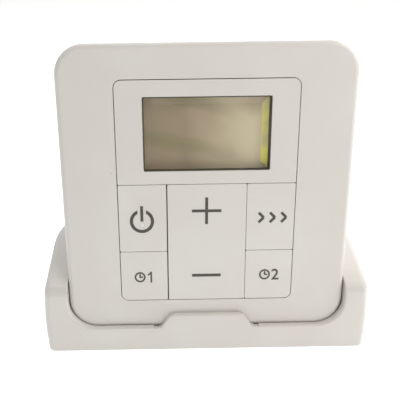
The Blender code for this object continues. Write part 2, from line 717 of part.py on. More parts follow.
def stand_block(inset, low, head_room):
    """Block with a leaning front, a rising top, round rear corners and slightly full sides."""
    half = STAND_HALF - inset
    front = STAND_FRONT + inset / math.cos(LEAN)
    back = STAND_BACK - inset
    near = max(STAND_FRONT_CORNER - inset, 0.3)
    far = STAND_REAR_CORNER - inset
    plan = rounded([(half, back, far), (-half, back, far), (-half, front, near),
                    (half, front, near)], 6)
    block = plate([plan], 0, 1)

    def shape_sides(shape):
        bmesh.ops.bisect_plane(
            shape, geom=[*shape.verts, *shape.edges, *shape.faces],
            plane_co=(0, 0, MM / 2), plane_no=(0, 0, 1))
        for vertex in shape.verts:
            x, y, share = vertex.co / MM
            lean = math.tan(LEAN) * (back - y) / (back - front)
            rise = SHOULDER_HEIGHT - SHOULDER_SLOPE * SHOULDER_BACK - head_room
            top = (rise + SHOULDER_SLOPE * (y - lean * STAND_FLOAT)) / (1 - SHOULDER_SLOPE * lean)
            height = low + (top - low) * share
            bulge = 4 * share * (1 - share) * STAND_BULGE * x / half
            vertex.co = Vector((x + bulge, y + lean * (height - STAND_FLOAT), height)) * MM

    return edit(block, shape_sides)


def pocket_outline(half, low, corner):
    return rounded([(half, OPEN_HEIGHT, 0), (-half, OPEN_HEIGHT, 0), (-half, low, corner),
                    (half, low, corner)], 7)


def front_opening():
    """Outline of the pocket's front: round lower corners, and the tab that holds the timer in."""
    half = FACE / 2 + POCKET_CLEARANCE
    notch = -TAB_FOOT_HALF - NOTCH_WIDTH
    side = [(-half, OPEN_HEIGHT, 0), (-half, LIP_HEIGHT, 9.0), (notch, LIP_HEIGHT, 0),
            (notch, LIP_HEIGHT - NOTCH_DEPTH, 0), (-TAB_FOOT_HALF, LIP_HEIGHT - NOTCH_DEPTH, 0),
            (-TAB_FOOT_HALF, LIP_HEIGHT + 0.6, 0), (-TAB_TOP_HALF, TAB_TOP, 1.4)]
    return rounded(side + [(-x, y, radius) for x, y, radius in reversed(side)], 5)


def make_stand():
    """Hollow stand: outer block, stepped pocket for the timer, and a cavity open below."""
    shell = stand_block(0, STAND_FLOAT, 0)
    soften(shell, 2.0, 3, lambda at: at.z > 10 and at.z > SHOULDER_HEIGHT - 4)
    soften(shell, 0.5, 1, lambda at: at.z < STAND_FLOAT + 0.01)
    clearance = POCKET_CLEARANCE

    def pockets(grow):
        rim_half = FACE / 2 + clearance + grow
        housing_half = HOUSING / 2 + clearance + grow
        rim = plate([pocket_outline(rim_half, -rim_half, FACE_CORNER + clearance + grow)],
                    -RIM_DEPTH - clearance - grow, 0.35 if grow == 0 else 20)
        housing = plate([pocket_outline(housing_half, -housing_half,
                                        HOUSING_CORNER + clearance + grow)],
                        -TOTAL_DEPTH - clearance - grow, -RIM_DEPTH)
        return rim, housing

    opening = plate([front_opening()], 0, 12)
    cavity = link("stand_cavity", stand_block(STAND_WALL, -2, 2.4), cutters)
    pocket_wall = 1.2
    kept = pockets(pocket_wall)
    posts = [rod((x, y, 20), 2.8, 42, sides=ROUND_SIDES) for x, y in BASE_SCREW_PLACES]
    combine(cavity, "DIFFERENCE", kept, controller_frame)
    combine(cavity, "DIFFERENCE", posts, None)
    base_space = link("base_space", plate([base_outline(STAND_WALL)], -3,
                                          STAND_FLOAT + BASE_THICKNESS + GAP), cutters)
    stand = piece("stand_shell", shell, "white_plastic", frame=None, cut=[cavity, base_space])
    combine(stand, "DIFFERENCE", [*pockets(0), opening], controller_frame)
    pilots = [rod((x, y, 2.5), SCREW_HOLE_RADIUS, 4.6, sides=SMALL_SIDES)
              for x, y in BASE_SCREW_PLACES]
    combine(stand, "DIFFERENCE", pilots, None)


def base_outline(inset):
    half = STAND_HALF - inset
    front = STAND_FRONT + inset
    back = STAND_BACK - inset
    near = max(STAND_FRONT_CORNER - inset, 0.5)
    far = STAND_REAR_CORNER - inset
    return rounded([(half, back, far), (-half, back, far), (-half, front, near),
                    (half, front, near)], 5)


def make_stand_base():
    """Flat cover under the stand, with its screws and four rubber feet."""
    base = plate([base_outline(STAND_WALL + GAP)], STAND_FLOAT, STAND_FLOAT + BASE_THICKNESS)
    recess = 1.8
    sides = 24
    recesses = [rod((x, y, STAND_FLOAT), FOOT_RADIUS + GAP, recess, sides=sides)
                for x, y in FOOT_PLACES]
    holes = [rod((x, y, 0), SCREW_HOLE_RADIUS, 8, sides=SMALL_SIDES)
             for x, y in BASE_SCREW_PLACES]
    heads = [rod((x, y, STAND_FLOAT), SCREW_HEAD_SPACE, recess, sides=ROUND_SIDES)
             for x, y in BASE_SCREW_PLACES]
    piece("stand_base", base, "white_plastic", frame=None, cut=[*recesses, *holes, *heads])
    edge = 0.3
    foot = turned([(0, FOOT_TOP), (FOOT_RADIUS, FOOT_TOP), (FOOT_RADIUS, edge),
                   (FOOT_RADIUS - edge, 0), (0, 0)], sides)
    for number, (x, y) in enumerate(FOOT_PLACES, 1):
        piece(f"stand_foot_{number}", moved(foot, x, y, 0), "rubber", frame=None)
    screw = make_screw(1.9, 0.5, 1.0, 2.6)
    over = Matrix.Rotation(math.radians(180), 4, "X")
    for number, (x, y) in enumerate(BASE_SCREW_PLACES, 1):
        piece(f"base_screw_{number}", moved(screw, x, y, STAND_FLOAT + 0.6, over), "steel",
              frame=None)


make_front_bezel()
make_display()
make_key_carrier(make_keys())
make_switches()
make_board()
make_batteries()
make_rear_shell()
make_battery_door()
make_case_screws()
make_stand()
make_stand_base()
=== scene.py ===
# %% [markdown]
# # A programmable heating timer in its desk stand
# A square timer of satin white plastic leans back in a low stand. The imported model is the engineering
# frame: it fixes every size and every moving body. This lesson makes the surfaces that the eye meets,
# piece by piece, with the tools of Blender's edit mode, and gives each one a finish worked out from
# the real material.

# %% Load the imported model
import json
import math
from contextlib import contextmanager

import bmesh
import bpy
from mathutils import Matrix, Vector


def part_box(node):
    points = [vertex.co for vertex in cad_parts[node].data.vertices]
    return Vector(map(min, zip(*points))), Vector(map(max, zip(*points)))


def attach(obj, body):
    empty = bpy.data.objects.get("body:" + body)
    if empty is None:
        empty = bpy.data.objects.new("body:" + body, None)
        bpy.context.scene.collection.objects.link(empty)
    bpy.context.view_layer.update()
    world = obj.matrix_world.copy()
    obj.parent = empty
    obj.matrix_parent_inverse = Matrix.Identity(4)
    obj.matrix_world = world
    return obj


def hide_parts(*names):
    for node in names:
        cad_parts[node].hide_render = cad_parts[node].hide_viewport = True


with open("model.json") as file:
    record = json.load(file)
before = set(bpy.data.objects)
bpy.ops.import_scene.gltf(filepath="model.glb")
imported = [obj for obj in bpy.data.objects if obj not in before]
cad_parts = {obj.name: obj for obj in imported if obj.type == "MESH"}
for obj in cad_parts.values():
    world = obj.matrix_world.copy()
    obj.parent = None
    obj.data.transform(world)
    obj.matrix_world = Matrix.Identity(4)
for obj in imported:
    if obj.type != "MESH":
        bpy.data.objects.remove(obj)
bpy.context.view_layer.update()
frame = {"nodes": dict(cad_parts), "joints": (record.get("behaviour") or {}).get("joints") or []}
MM = 0.001

# %% [markdown]
# ## Two sets of directions
# The stand is upright, so it is modelled in world directions. The timer leans back in it. Its pieces
# could be modelled leaning, but then no cut or round edge would be square to an axis. So they are
# modelled flat, with Z out of the face and the middle of the face at zero, and leaned into place at the
# end. The joints say how far the timer leans: it lifts along its own height, and a key sinks into the
# face.

# %% The timer's own directions, read from its joints
joint_axis = {joint["name"]: Vector(joint["axis"]).normalized() for joint in frame["joints"]}
ACROSS = Vector((1, 0, 0))
UP_FACE = joint_axis["timer_lift"]
OUT_OF_FACE = -joint_axis["power_press"]


def measured(node, origin=Vector()):
    """Lowest and highest corner of a CAD node, in mm along the timer's own directions."""
    points = [vertex.co - origin for vertex in frame["nodes"][node].data.vertices]
    along = [[point.dot(axis) / MM for point in points] for axis in (ACROSS, UP_FACE, OUT_OF_FACE)]
    return Vector([min(values) for values in along]), Vector([max(values) for values in along])


bezel_low, bezel_high = measured("front_bezel")
middle = (bezel_low + bezel_high) / 2
FACE_CENTRE = (ACROSS * middle.x + UP_FACE * middle.y + OUT_OF_FACE * bezel_high.z) * MM
LEAN = Matrix.Translation(FACE_CENTRE) @ Matrix(
    (ACROSS, UP_FACE, OUT_OF_FACE)).transposed().to_4x4()


def place_of(node):
    return measured(node, FACE_CENTRE)


def middle_of(node):
    return sum(place_of(node), Vector()) / 2


face_low, face_high = place_of("front_bezel")
print("timer leans", round(math.degrees(math.asin(UP_FACE.y)), 1), "degrees, face",
      [round(side, 2) for side in (face_high - face_low)])

# %% [markdown]
# ## Camera
# The camera stands close, a little left of the middle and well above it, as a hand-held camera over a
# desk would. A close camera gives the strong perspective that makes the lower edge of the face look
# wide. Its lens is shifted a little, because the object isn't in the middle of the frame.

# %% Make the camera
camera_data = bpy.data.cameras.new("camera")
camera_data.lens = 39.3
camera_data.shift_x = 0.072
camera_data.clip_start = 0.01
camera = bpy.data.objects.new("camera", camera_data)
camera.location = FACE_CENTRE + Vector((-10.92, -111.67, 58.68)) * MM
camera.rotation_euler = [math.radians(turn) for turn in (61.63, 0.64, -0.67)]
bpy.context.scene.collection.objects.link(camera)
bpy.context.scene.camera = camera
print("camera is", round((camera.location - FACE_CENTRE).length / MM), "mm from the face")

# %% [markdown]
# ## Small tools for modelling by hand
# Each helper does what a person does in the viewport: add a cube of the right size, go into edit mode,
# select edges or faces by where they are, and bevel, inset or move them. Sizes are given in
# millimetres and turned to metres here, in one place.

# %% Modelling helpers
def take(obj):
    """Selects one object and nothing else."""
    bpy.ops.object.select_all(action="DESELECT")
    obj.select_set(True)
    bpy.context.view_layer.objects.active = obj
    return obj


def named(name):
    obj = bpy.context.object
    obj.name = name
    obj.data.name = name
    bpy.ops.object.transform_apply(location=True, rotation=True, scale=True)
    return obj


def block(name, low, high):
    """A box between two corners."""
    bpy.ops.object.select_all(action="DESELECT")
    low, high = Vector(low), Vector(high)
    bpy.ops.mesh.primitive_cube_add(size=MM, location=(low + high) / 2 * MM)
    bpy.context.object.scale = high - low
    return named(name)


def drum(name, centre, radius, depth, axis="Z", sides=32):
    """A cylinder along one axis, centred on a point."""
    turn = {"X": (0, math.pi / 2, 0), "Z": (0, 0, 0)}[axis]
    bpy.ops.object.select_all(action="DESELECT")
    bpy.ops.mesh.primitive_cylinder_add(vertices=sides, radius=radius * MM, depth=depth * MM,
                                        location=Vector(centre) * MM, rotation=turn)
    return named(name)


@contextmanager
def editing(obj):
    take(obj)
    bpy.ops.object.mode_set(mode="EDIT")
    yield
    bpy.ops.object.mode_set(mode="OBJECT")


def pick(obj, kind, test):
    """In edit mode, selects edges or faces by their middle, in mm, and their direction."""
    bpy.ops.mesh.select_mode(type=kind)
    bpy.ops.mesh.select_all(action="DESELECT")
    shape = bmesh.from_edit_mesh(obj.data)
    for part in shape.edges if kind == "EDGE" else shape.faces:
        at = sum((vertex.co for vertex in part.verts), Vector()) / len(part.verts) / MM
        if kind == "EDGE":
            direction = (part.verts[1].co - part.verts[0].co).normalized()
        else:
            direction = part.normal
        if test(at, direction):
            part.select_set(True)
    bmesh.update_edit_mesh(obj.data)


def round_edges(obj, radius, segments, test):
    with editing(obj):
        pick(obj, "EDGE", test)
        bpy.ops.mesh.bevel(offset=radius * MM, segments=segments, profile=0.5, affect="EDGES")
    return obj


def upright(at, direction):
    return abs(direction.z) > 0.99


def rounded_block(name, low, high, radius, segments=8):
    """A box whose four upright edges are round."""
    return round_edges(block(name, low, high), radius, segments, upright)


def finish(obj, kind, **settings):
    """Adds a modifier with its settings and applies it."""
    modifier = take(obj).modifiers.new(kind.lower(), kind)
    for setting, value in settings.items():
        setattr(modifier, setting, value)
    bpy.ops.object.modifier_apply(modifier=modifier.name)
    return obj


def join_or_cut(obj, operation, tools):
    for tool in tools:
        finish(obj, "BOOLEAN", operation=operation, solver="EXACT", object=tool)
        bpy.data.objects.remove(tool)
    return obj


def cut(obj, *tools):
    return join_or_cut(obj, "DIFFERENCE", tools)


def fuse(obj, *tools):
    return join_or_cut(obj, "UNION", tools)


def soften(obj, width, segments=3, angle=40):
    """Gives every sharp edge a small radius, as a mould does."""
    return finish(obj, "BEVEL", width=width * MM, segments=segments, limit_method="ANGLE",
                  angle_limit=math.radians(angle), miter_outer="MITER_ARC")


def smooth(obj, angle=35):
    """Smooth shading that keeps the flat faces flat."""
    take(obj)
    bpy.ops.object.shade_smooth_by_angle(angle=math.radians(angle))
    return finish(obj, "WEIGHTED_NORMAL", keep_sharp=True, weight=80)


def leaned(obj):
    """Leans a piece that was modelled flat into its place in the stand."""
    obj.matrix_world = LEAN @ obj.matrix_world
    take(obj)
    bpy.ops.object.transform_apply(location=True, rotation=True, scale=True)
    return obj


pieces_made = []


def done(obj, finish_material, body, slot, *nodes, leaning=True):
    """Puts a piece in its place, gives it its finish and its body, and hides the CAD nodes it stands
    for.
    """
    if leaning:
        leaned(obj)
    if finish_material is not None:
        obj.data.materials.clear()
        obj.data.materials.append(finish_material)
    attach(obj, body)
    if nodes:
        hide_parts(*nodes)
    pieces_made.append(obj.name)
    return obj


# %% [markdown]
# ## Materials
# A shader works in linear light, while colours are usually written as sRGB hex values, so one function
# turns one into the other. Another adds a shader node with its settings and links. Patterns read
# Object coordinates, which are in metres here, so a pattern of a given size in millimetres has a scale
# of one thousand over that size.

# %% Material helpers
def linear(hex_colour):
    channels = [int(hex_colour[place:place + 2], 16) / 255 for place in (1, 3, 5)]
    return tuple(value / 12.92 if value <= 0.04045 else ((value + 0.055) / 1.055) ** 2.4
                 for value in channels) + (1.0,)


def per_mm(size):
    return 1000 / size


def start_material(name, **constants):
    """A material, its node tree and its Principled shader with constants on its sockets."""
    made = bpy.data.materials.new(name)
    made.use_nodes = True
    tree = made.node_tree
    shader = tree.nodes["Principled BSDF"]
    for socket, value in constants.items():
        shader.inputs[socket.replace("_", " ")].default_value = value
    place = tree.nodes.new("ShaderNodeTexCoord").outputs["Object"]
    return made, tree, shader, place


def add(tree, kind, settings=(), links=()):
    """Adds a node. Settings name its attributes or inputs, links join its inputs to outputs."""
    made = tree.nodes.new("ShaderNode" + kind)
    for key, value in dict(settings).items():
        if isinstance(key, str) and hasattr(made, key):
            setattr(made, key, value)
        else:
            made.inputs[key].default_value = value
    for key, source in dict(links).items():
        tree.links.new(source, made.inputs[key])
    return made


def blend_colours(tree, factor, first, second):
    """Two hex colours mixed by a factor."""
    mix = add(tree, "Mix", {"data_type": "RGBA"}, {0: factor})
    mix.inputs[6].default_value = linear(first)
    mix.inputs[7].default_value = linear(second)
    return mix.outputs[2]


def ramp(tree, factor, low, high):
    """Spreads the part of a factor between low and high over the range 0 to 1."""
    return add(tree, "MapRange", {"From Min": low, "From Max": high}, {"Value": factor}).outputs[0]


def grain(tree, shader, place, size, depth, strength=0.6):
    """The fine bumps that a spark-eroded mould leaves, with their size and depth in mm."""
    noise = add(tree, "TexNoise", {"Scale": per_mm(size), "Detail": 3.0}, {"Vector": place})
    bump = add(tree, "Bump", {"Distance": depth * MM, "Strength": strength},
               {"Height": noise.outputs[0]})
    tree.links.new(bump.outputs[0], shader.inputs["Normal"])
    return noise.outputs[0]


# %% [markdown]
# ### Satin ABS
# The case, the keys and the stand are moulded from ABS pigmented a warm greyish white. The mould's
# spark-eroded skin gives a fine satin grain, the melt leaves broad and very faint shifts of tone, and
# handling leaves a few specks of dust. ABS has an index of refraction of about 1.53 and, with this
# skin, a roughness of about 0.45. The grain is drawn at 0.35 mm, coarser than the real 0.1 mm, so that
# it shows.

# %% Make the satin plastics
def satin_abs(name, pale, warm, roughness, speck_share):
    made, tree, shader, place = start_material(name, IOR=1.53)
    grain_height = grain(tree, shader, place, 0.35, 0.006)
    flow = add(tree, "TexNoise", {"Scale": per_mm(22), "Detail": 2.0}, {"Vector": place})
    tone = blend_colours(tree, ramp(tree, flow.outputs[0], 0.35, 0.65), pale, warm)
    cells = add(tree, "TexVoronoi", {"Scale": per_mm(4)}, {"Vector": place})
    dot = ramp(tree, cells.outputs["Distance"], 0.035, 0.025)
    chosen = add(tree, "Math", {"operation": "LESS_THAN", 1: speck_share},
                 {0: cells.outputs["Color"]})
    speck = add(tree, "Math", {"operation": "MULTIPLY"}, {0: dot, 1: chosen.outputs[0]})
    colour = add(tree, "Mix", {"data_type": "RGBA"}, {0: speck.outputs[0], 6: tone})
    colour.inputs[7].default_value = linear("#8A8075")
    tree.links.new(colour.outputs[2], shader.inputs["Base Color"])
    shine = add(tree, "MapRange", {"To Min": roughness - 0.04, "To Max": roughness + 0.05},
                {"Value": grain_height})
    tree.links.new(shine.outputs[0], shader.inputs["Roughness"])
    return made


case_abs = satin_abs("satin_abs_case", "#DDDAD7", "#DAD6D1", 0.44, 0.25)
key_abs = satin_abs("satin_abs_keys", "#DEDBD8", "#DBD7D3", 0.40, 0.15)
inner_abs = satin_abs("natural_abs_inside", "#D9D5C9", "#CFCABD", 0.5, 0.05)

# %% [markdown]
# ### Ink, rubber, resin and metal finishes
# The symbols are pad-printed in dark grey ink, which lies as a thin, slightly uneven film. The other
# finishes are mostly inside or below: nickel-plated steel and brass, dull silicone and rubber, and
# black moulding resin. Each has two close tones in patches.

# %% Make the other finishes
def spotted(name, first, second, size, roughness, depth=0.01, **constants):
    """A finish with two close tones in patches of a size in mm, and bumps of a tenth of it."""
    made, tree, shader, place = start_material(name, **constants)
    grain(tree, shader, place, size / 10, depth)
    patches = add(tree, "TexNoise", {"Scale": per_mm(size), "Detail": 4.0}, {"Vector": place})
    share = ramp(tree, patches.outputs[0], 0.35, 0.65)
    tree.links.new(blend_colours(tree, share, first, second), shader.inputs["Base Color"])
    shine = add(tree, "MapRange", {"To Min": roughness * 0.8, "To Max": roughness * 1.2},
                {"Value": patches.outputs[0]})
    tree.links.new(shine.outputs[0], shader.inputs["Roughness"])
    return made


milky_acrylic = spotted("milky_acrylic", "#E9E8E4", "#F1F0EC", 1.0, 0.3, 0.002, IOR=1.49)
printed_ink = spotted("pad_printed_ink", "#4A4745", "#55514E", 1.5, 0.5)
gasket_foam = spotted("dark_gasket_foam", "#4C483C", "#5A5548", 1.0, 0.8, 0.03)
silicone = spotted("silicone_rubber", "#5A5A58", "#4A4A49", 2.0, 0.7)
foot_rubber = spotted("foot_rubber", "#262626", "#323230", 1.2, 0.75, 0.03)
chip_resin = spotted("black_moulding_resin", "#1B1B1D", "#28282A", 0.8, 0.55)
plunger_plastic = spotted("black_switch_plastic", "#222222", "#2E2D2C", 1.0, 0.45)
nickel = spotted("nickel_plated_steel", "#BDB9B0", "#A9A69E", 3.0, 0.28, 0.004, Metallic=1.0)
brass = spotted("drawn_brass_wire", "#C9A45C", "#B48C48", 2.0, 0.3, 0.004, Metallic=1.0)


# %% [markdown]
# ### Clear acrylic and the display
# The window is acrylic, index 1.49. Seen from the front it lets nearly all light through and returns
# a soft reflection that grows at a glancing angle. A Fresnel factor between a transparent and a glossy
# shader says exactly that, and lets the lamps reach the display behind. On the faces that the light
# leaves by, the factor is set to nothing, or the pane would trap light that comes in at a slant.
#
# The display behind is an olive tan film, with a painted glow that makes it paler to the right, where
# the light guide is.
# Broad green bands of painted reflection cross it at a slant and fade to the right. A wave texture
# draws them, about 12 mm apart.

# %% Make the clear acrylic and the display's finish
def clear_acrylic(name, roughness):
    made, tree, shader, place = start_material(name)
    tree.nodes.remove(shader)
    smudges = add(tree, "TexNoise", {"Scale": per_mm(9), "Detail": 3.0}, {"Vector": place})
    haze = add(tree, "MapRange", {"To Min": roughness, "To Max": roughness + 0.05},
               {"Value": smudges.outputs[0]})
    clear = add(tree, "BsdfTransparent", {"Color": linear("#FEFEFD")})
    gloss = add(tree, "BsdfGlossy", {"Color": (1, 1, 1, 1)}, {"Roughness": haze.outputs[0]})
    edge = add(tree, "Fresnel", {"IOR": 1.49})
    facing = add(tree, "NewGeometry")
    outside = add(tree, "Math", {"operation": "SUBTRACT", "use_clamp": True},
                  {0: edge.outputs[0], 1: facing.outputs["Backfacing"]})
    pane = add(tree, "MixShader", (), {0: outside.outputs[0], 1: clear.outputs[0],
                                       2: gloss.outputs[0]})
    tree.links.new(pane.outputs[0], tree.nodes["Material Output"].inputs["Surface"])
    return made


acrylic = clear_acrylic("clear_acrylic", 0.03)


def display_film(name):
    """Reflective liquid crystal film: olive tan, paler to the right by a painted glow, with slanting
    green stripes of painted reflection.
    """
    made, tree, shader, place = start_material(name, Roughness=0.32, IOR=1.5)
    turn = add(tree, "Mapping", {"Location": -FACE_CENTRE}, {"Vector": place})
    flat = add(tree, "Mapping", {"Rotation": (math.asin(UP_FACE.y) - math.pi / 2, 0, 0)},
               {"Vector": turn.outputs[0]})
    spread = add(tree, "SeparateXYZ", (), {0: flat.outputs[0]})
    # Painted glow: the film's colour goes paler to the right, standing in for light from the light
    # guide.
    painted_glow_share = ramp(tree, spread.outputs[0], -6 * MM, 18 * MM)
    painted_glow_base = blend_colours(tree, painted_glow_share, "#A5957E", "#EADFC2")
    clouds = add(tree, "TexNoise", {"Scale": per_mm(12), "Detail": 1.0}, {"Vector": flat.outputs[0]})
    tint = add(tree, "Mix", {"data_type": "RGBA"},
               {0: ramp(tree, clouds.outputs[0], 0.45, 0.75), 6: painted_glow_base})
    tint.inputs[7].default_value = linear("#B5A28C")
    # Painted reflection: slanting green bands, as of the room mirrored in the pane, fading to the
    # right.
    slanted = add(tree, "Mapping", {"Rotation": (0, 0, math.radians(14))},
                  {"Vector": flat.outputs[0]})
    band_step = 12.3 * MM
    painted_reflection_bands = add(tree, "TexWave", {"bands_direction": "Y", "Scale": math.tau / 20 / band_step,
                                  "Distortion": 0.9, "Detail": 1.0, "Detail Scale": 2.5,
                                  "Phase Offset": -3.1}, {"Vector": slanted.outputs[0]})
    narrow = ramp(tree, painted_reflection_bands.outputs["Fac"], 0.6, 1.0)
    reflection_fade = add(tree, "MapRange", {"From Min": 12 * MM, "From Max": -6 * MM, "To Max": 0.55},
                 {"Value": spread.outputs[0]})
    share = add(tree, "Math", {"operation": "MULTIPLY"}, {0: narrow, 1: reflection_fade.outputs[0]})
    # Mixes the painted reflection into the film's colour.
    green = add(tree, "Mix", {"data_type": "RGBA"}, {0: share.outputs[0], 6: tint.outputs[2]})
    green.inputs[7].default_value = linear("#86855E")
    tree.links.new(green.outputs[2], shader.inputs["Base Color"])
    return made


lcd_film = display_film("liquid_crystal_film")


def light_guide(name):
    """Yellow-green edge of the display's light guide: cloudy, with a little emission as painted glow.
    """
    made, tree, shader, place = start_material(name, Roughness=0.35)
    cloud = add(tree, "TexNoise", {"Scale": per_mm(7), "Detail": 2.0}, {"Vector": place})
    colour = blend_colours(tree, ramp(tree, cloud.outputs[0], 0.4, 0.6), "#F6F07E", "#DDD49C")
    tree.links.new(colour, shader.inputs["Base Color"])
    # Painted glow: the guide's own colour is given out as a little light, though nothing lights it from
    # inside.
    tree.links.new(colour, shader.inputs["Emission Color"])
    shader.inputs["Emission Strength"].default_value = 0.1
    return made


painted_guide_glow = light_guide("light_guide_acrylic")

# %% [markdown]
# ### Circuit board and cell sleeve
# A board is glass-fibre laminate under green solder resist. Copper tracks show through the resist as
# paler green lines about 0.4 mm wide. A brick texture with long, thin bricks gives straight runs with
# gaps, which reads as tracks at this size. The cells wear a blue shrink sleeve.

# %% Make the circuit board's finish
def board_resist(name):
    made, tree, shader, place = start_material(name, Roughness=0.35, IOR=1.55)
    flat = add(tree, "Mapping", {"Rotation": (math.asin(UP_FACE.y) - math.pi / 2, 0, 0)},
               {"Vector": place})
    tracks = add(tree, "TexBrick", {"Scale": per_mm(1), "Mortar Size": 0.2, "Brick Width": 9.0,
                                    "Row Height": 1.2}, {"Vector": flat.outputs[0]})
    tracks.inputs["Color1"].default_value = linear("#1F5B36")
    tracks.inputs["Color2"].default_value = linear("#1B5230")
    tracks.inputs["Mortar"].default_value = linear("#2F7A4A")
    tree.links.new(tracks.outputs[0], shader.inputs["Base Color"])
    bump = add(tree, "Bump", {"Distance": 0.03 * MM, "Strength": 0.5},
               {"Height": tracks.outputs["Fac"]})
    tree.links.new(bump.outputs[0], shader.inputs["Normal"])
    return made


solder_resist = board_resist("green_solder_resist")
sleeve = spotted("cell_shrink_sleeve", "#2E5673", "#274B66", 6.0, 0.3)

# %% [markdown]
# ## Front moulding
# The front is a square shell 84 mm across with round corners and a soft face edge. It could be a
# curve extruded and bevelled, but a cube with its four upright edges bevelled, then the rim of its
# front face, gives a clean mesh and the true radii. The back is inset and pushed in to make the
# shell, and the opening for the panel is a Boolean cut, because its place is exact. Four posts inside
# take the case screws.

# %% Model the front moulding
FACE_CORNER = 8.5
FACE_EDGE = 1.8
WALL = 2.0
BOSS = 2.6
PILOT = 1.3
panel_low = Vector((place_of("key_power")[0].x, place_of("key_program_1")[0].y, 0))
panel_high = Vector((place_of("key_boost")[1].x, place_of("display_fascia")[1].y, 0))
SEAM = 0.3
PANEL_CORNER = 2.0


def push_in(obj, wall, depth, facing):
    """Insets the faces that face one way and pushes them into the block, which makes it a shell."""
    with editing(obj):
        pick(obj, "FACE", lambda at, normal: normal.dot(Vector(facing)) > 0.99)
        bpy.ops.mesh.inset(thickness=wall * MM, depth=0)
        bpy.ops.mesh.extrude_region_move(
            TRANSFORM_OT_translate={"value": Vector(facing) * -depth * MM})
    return obj


front = rounded_block("front_moulding", face_low, face_high, FACE_CORNER, 14)
push_in(front, WALL, face_high.z - face_low.z - WALL, (0, 0, -1))
round_edges(front, FACE_EDGE, 6, lambda at, along: at.z > face_high.z - 0.01)
case_screw_at = [middle_of(f"case_screw_{number}") for number in (1, 2, 3, 4)]
for at in case_screw_at:
    fuse(front, drum("post", (at.x, at.y, -4.2), BOSS, 5.4, sides=24))
    cut(front, drum("pilot_hole", (at.x, at.y, -5.5), PILOT, 5.0, sides=16))
cut(front, rounded_block("panel_opening", (panel_low.x - SEAM, panel_low.y - SEAM, -5),
                         (panel_high.x + SEAM, panel_high.y + SEAM, 2), PANEL_CORNER + SEAM))
soften(front, 0.22)
done(smooth(front), case_abs, "timer", "case_plastic", "front_bezel")
print("front moulding has", len(front.data.polygons), "faces")

# %% [markdown]
# ## Display
# The fascia is a flat panel let into the front moulding, with a window. The window's pane is clear
# acrylic in a dark foam gasket, and the liquid crystal cell lies nearly 3 mm below the face, so
# the gasket shows as a dark line on the sides that the eye sees. The cell's face is bordered by a
# bevelled edge, and on the right that bevel shows the yellow-green of the light guide.

# %% Model the fascia, gasket, pane and cell
fascia_low, fascia_high = place_of("display_fascia")
FIT = 0.08
EDGE_FIT = Vector((FIT, FIT, 0))
fascia = block("display_panel", fascia_low - EDGE_FIT, fascia_high + EDGE_FIT)
SMALL_CORNER = 0.4
round_edges(fascia, PANEL_CORNER, 8, lambda at, along: upright(at, along) and at.y > fascia_low.y + 1)
round_edges(fascia, SMALL_CORNER, 4,
            lambda at, along: upright(at, along) and at.y < fascia_low.y + 0.1)
gasket_low, gasket_high = place_of("display_gasket")
pane_low, pane_high = place_of("display_window")
AROUND_PANE = 0.85
ABOVE_PANE = 0.55
LINING = Vector((0.28, 0.28, 0))
window_low = Vector((pane_low.x - AROUND_PANE, pane_low.y - AROUND_PANE, -4))
window_high = Vector((pane_high.x + AROUND_PANE, pane_high.y + ABOVE_PANE, 2))
inner_low = window_low + LINING
inner_high = window_high - LINING
cut(fascia, rounded_block("window", window_low, window_high, SMALL_CORNER, 4))
cut(fascia, rounded_block("seat", (gasket_low.x - 0.3, gasket_low.y - 0.3, -4),
                          (gasket_high.x + 0.3, gasket_high.y + 0.3, -1.2), 0.5, 4))
soften(fascia, 0.12)
done(smooth(fascia), case_abs, "timer", "case_plastic", "display_fascia")

gasket = rounded_block("display_gasket_foam", gasket_low, (gasket_high.x, gasket_high.y, -1.5),
                       SMALL_CORNER, 3)
fuse(gasket, rounded_block("lining", window_low + Vector((0.06, 0.06, 2)),
                           (window_high.x - 0.06, window_high.y - 0.06, -0.25), SMALL_CORNER, 3))
cut(gasket, rounded_block("pane_space", inner_low, inner_high, 0.25, 3))
soften(gasket, 0.05, 1)
done(smooth(gasket), gasket_foam, "timer", "silicone", "display_gasket")

pane = rounded_block("display_pane", (inner_low.x + 0.05, inner_low.y + 0.05, pane_low.z),
                     (inner_high.x - 0.05, inner_high.y - 0.05, pane_high.z - 0.3), 0.2, 3)
soften(pane, 0.12, 2)
done(smooth(pane), acrylic, "timer", "clear_window", "display_window")

cell_low, cell_high = place_of("lcd_cell")
BORDER = 2.2
BORDER_DEPTH = 0.35
cell = block("display_cell", cell_low, cell_high)
with editing(cell):
    pick(cell, "FACE", lambda at, normal: normal.z > 0.99)
    bpy.ops.mesh.inset(thickness=(cell_high.x - inner_high.x - 0.3) * MM)
    bpy.ops.mesh.inset(thickness=BORDER * MM, depth=-BORDER_DEPTH * MM)
cell.data.materials.append(lcd_film)
cell.data.materials.append(painted_guide_glow)
for face in cell.data.polygons:
    sloping = 0.5 < face.normal.z < 0.999
    face.material_index = 1 if sloping and face.normal.x < -0.05 else 0
soften(cell, 0.04, 1, 60)
done(cell, None, "timer", "display", "lcd_cell")
print("display panel", [round(side, 1) for side in fascia_high - fascia_low])

# %% [markdown]
# ## Keys
# Each key is a flat cap with a soft rim, hollow below, with a post that reaches down to its switch.
# A cap starts as a block in the key's outline. A block cut from its back leaves thin walls, and the
# post and its retaining foot are joined on. The long key rocks about an axle across its middle. Its
# cap is drawn in a little on the left, which widens the seam there.

# %% Model the keys
CAP = 2.0
KEY_WALL = 1.2
POST_HALF = 1.5
KEY_EDGE = 0.2


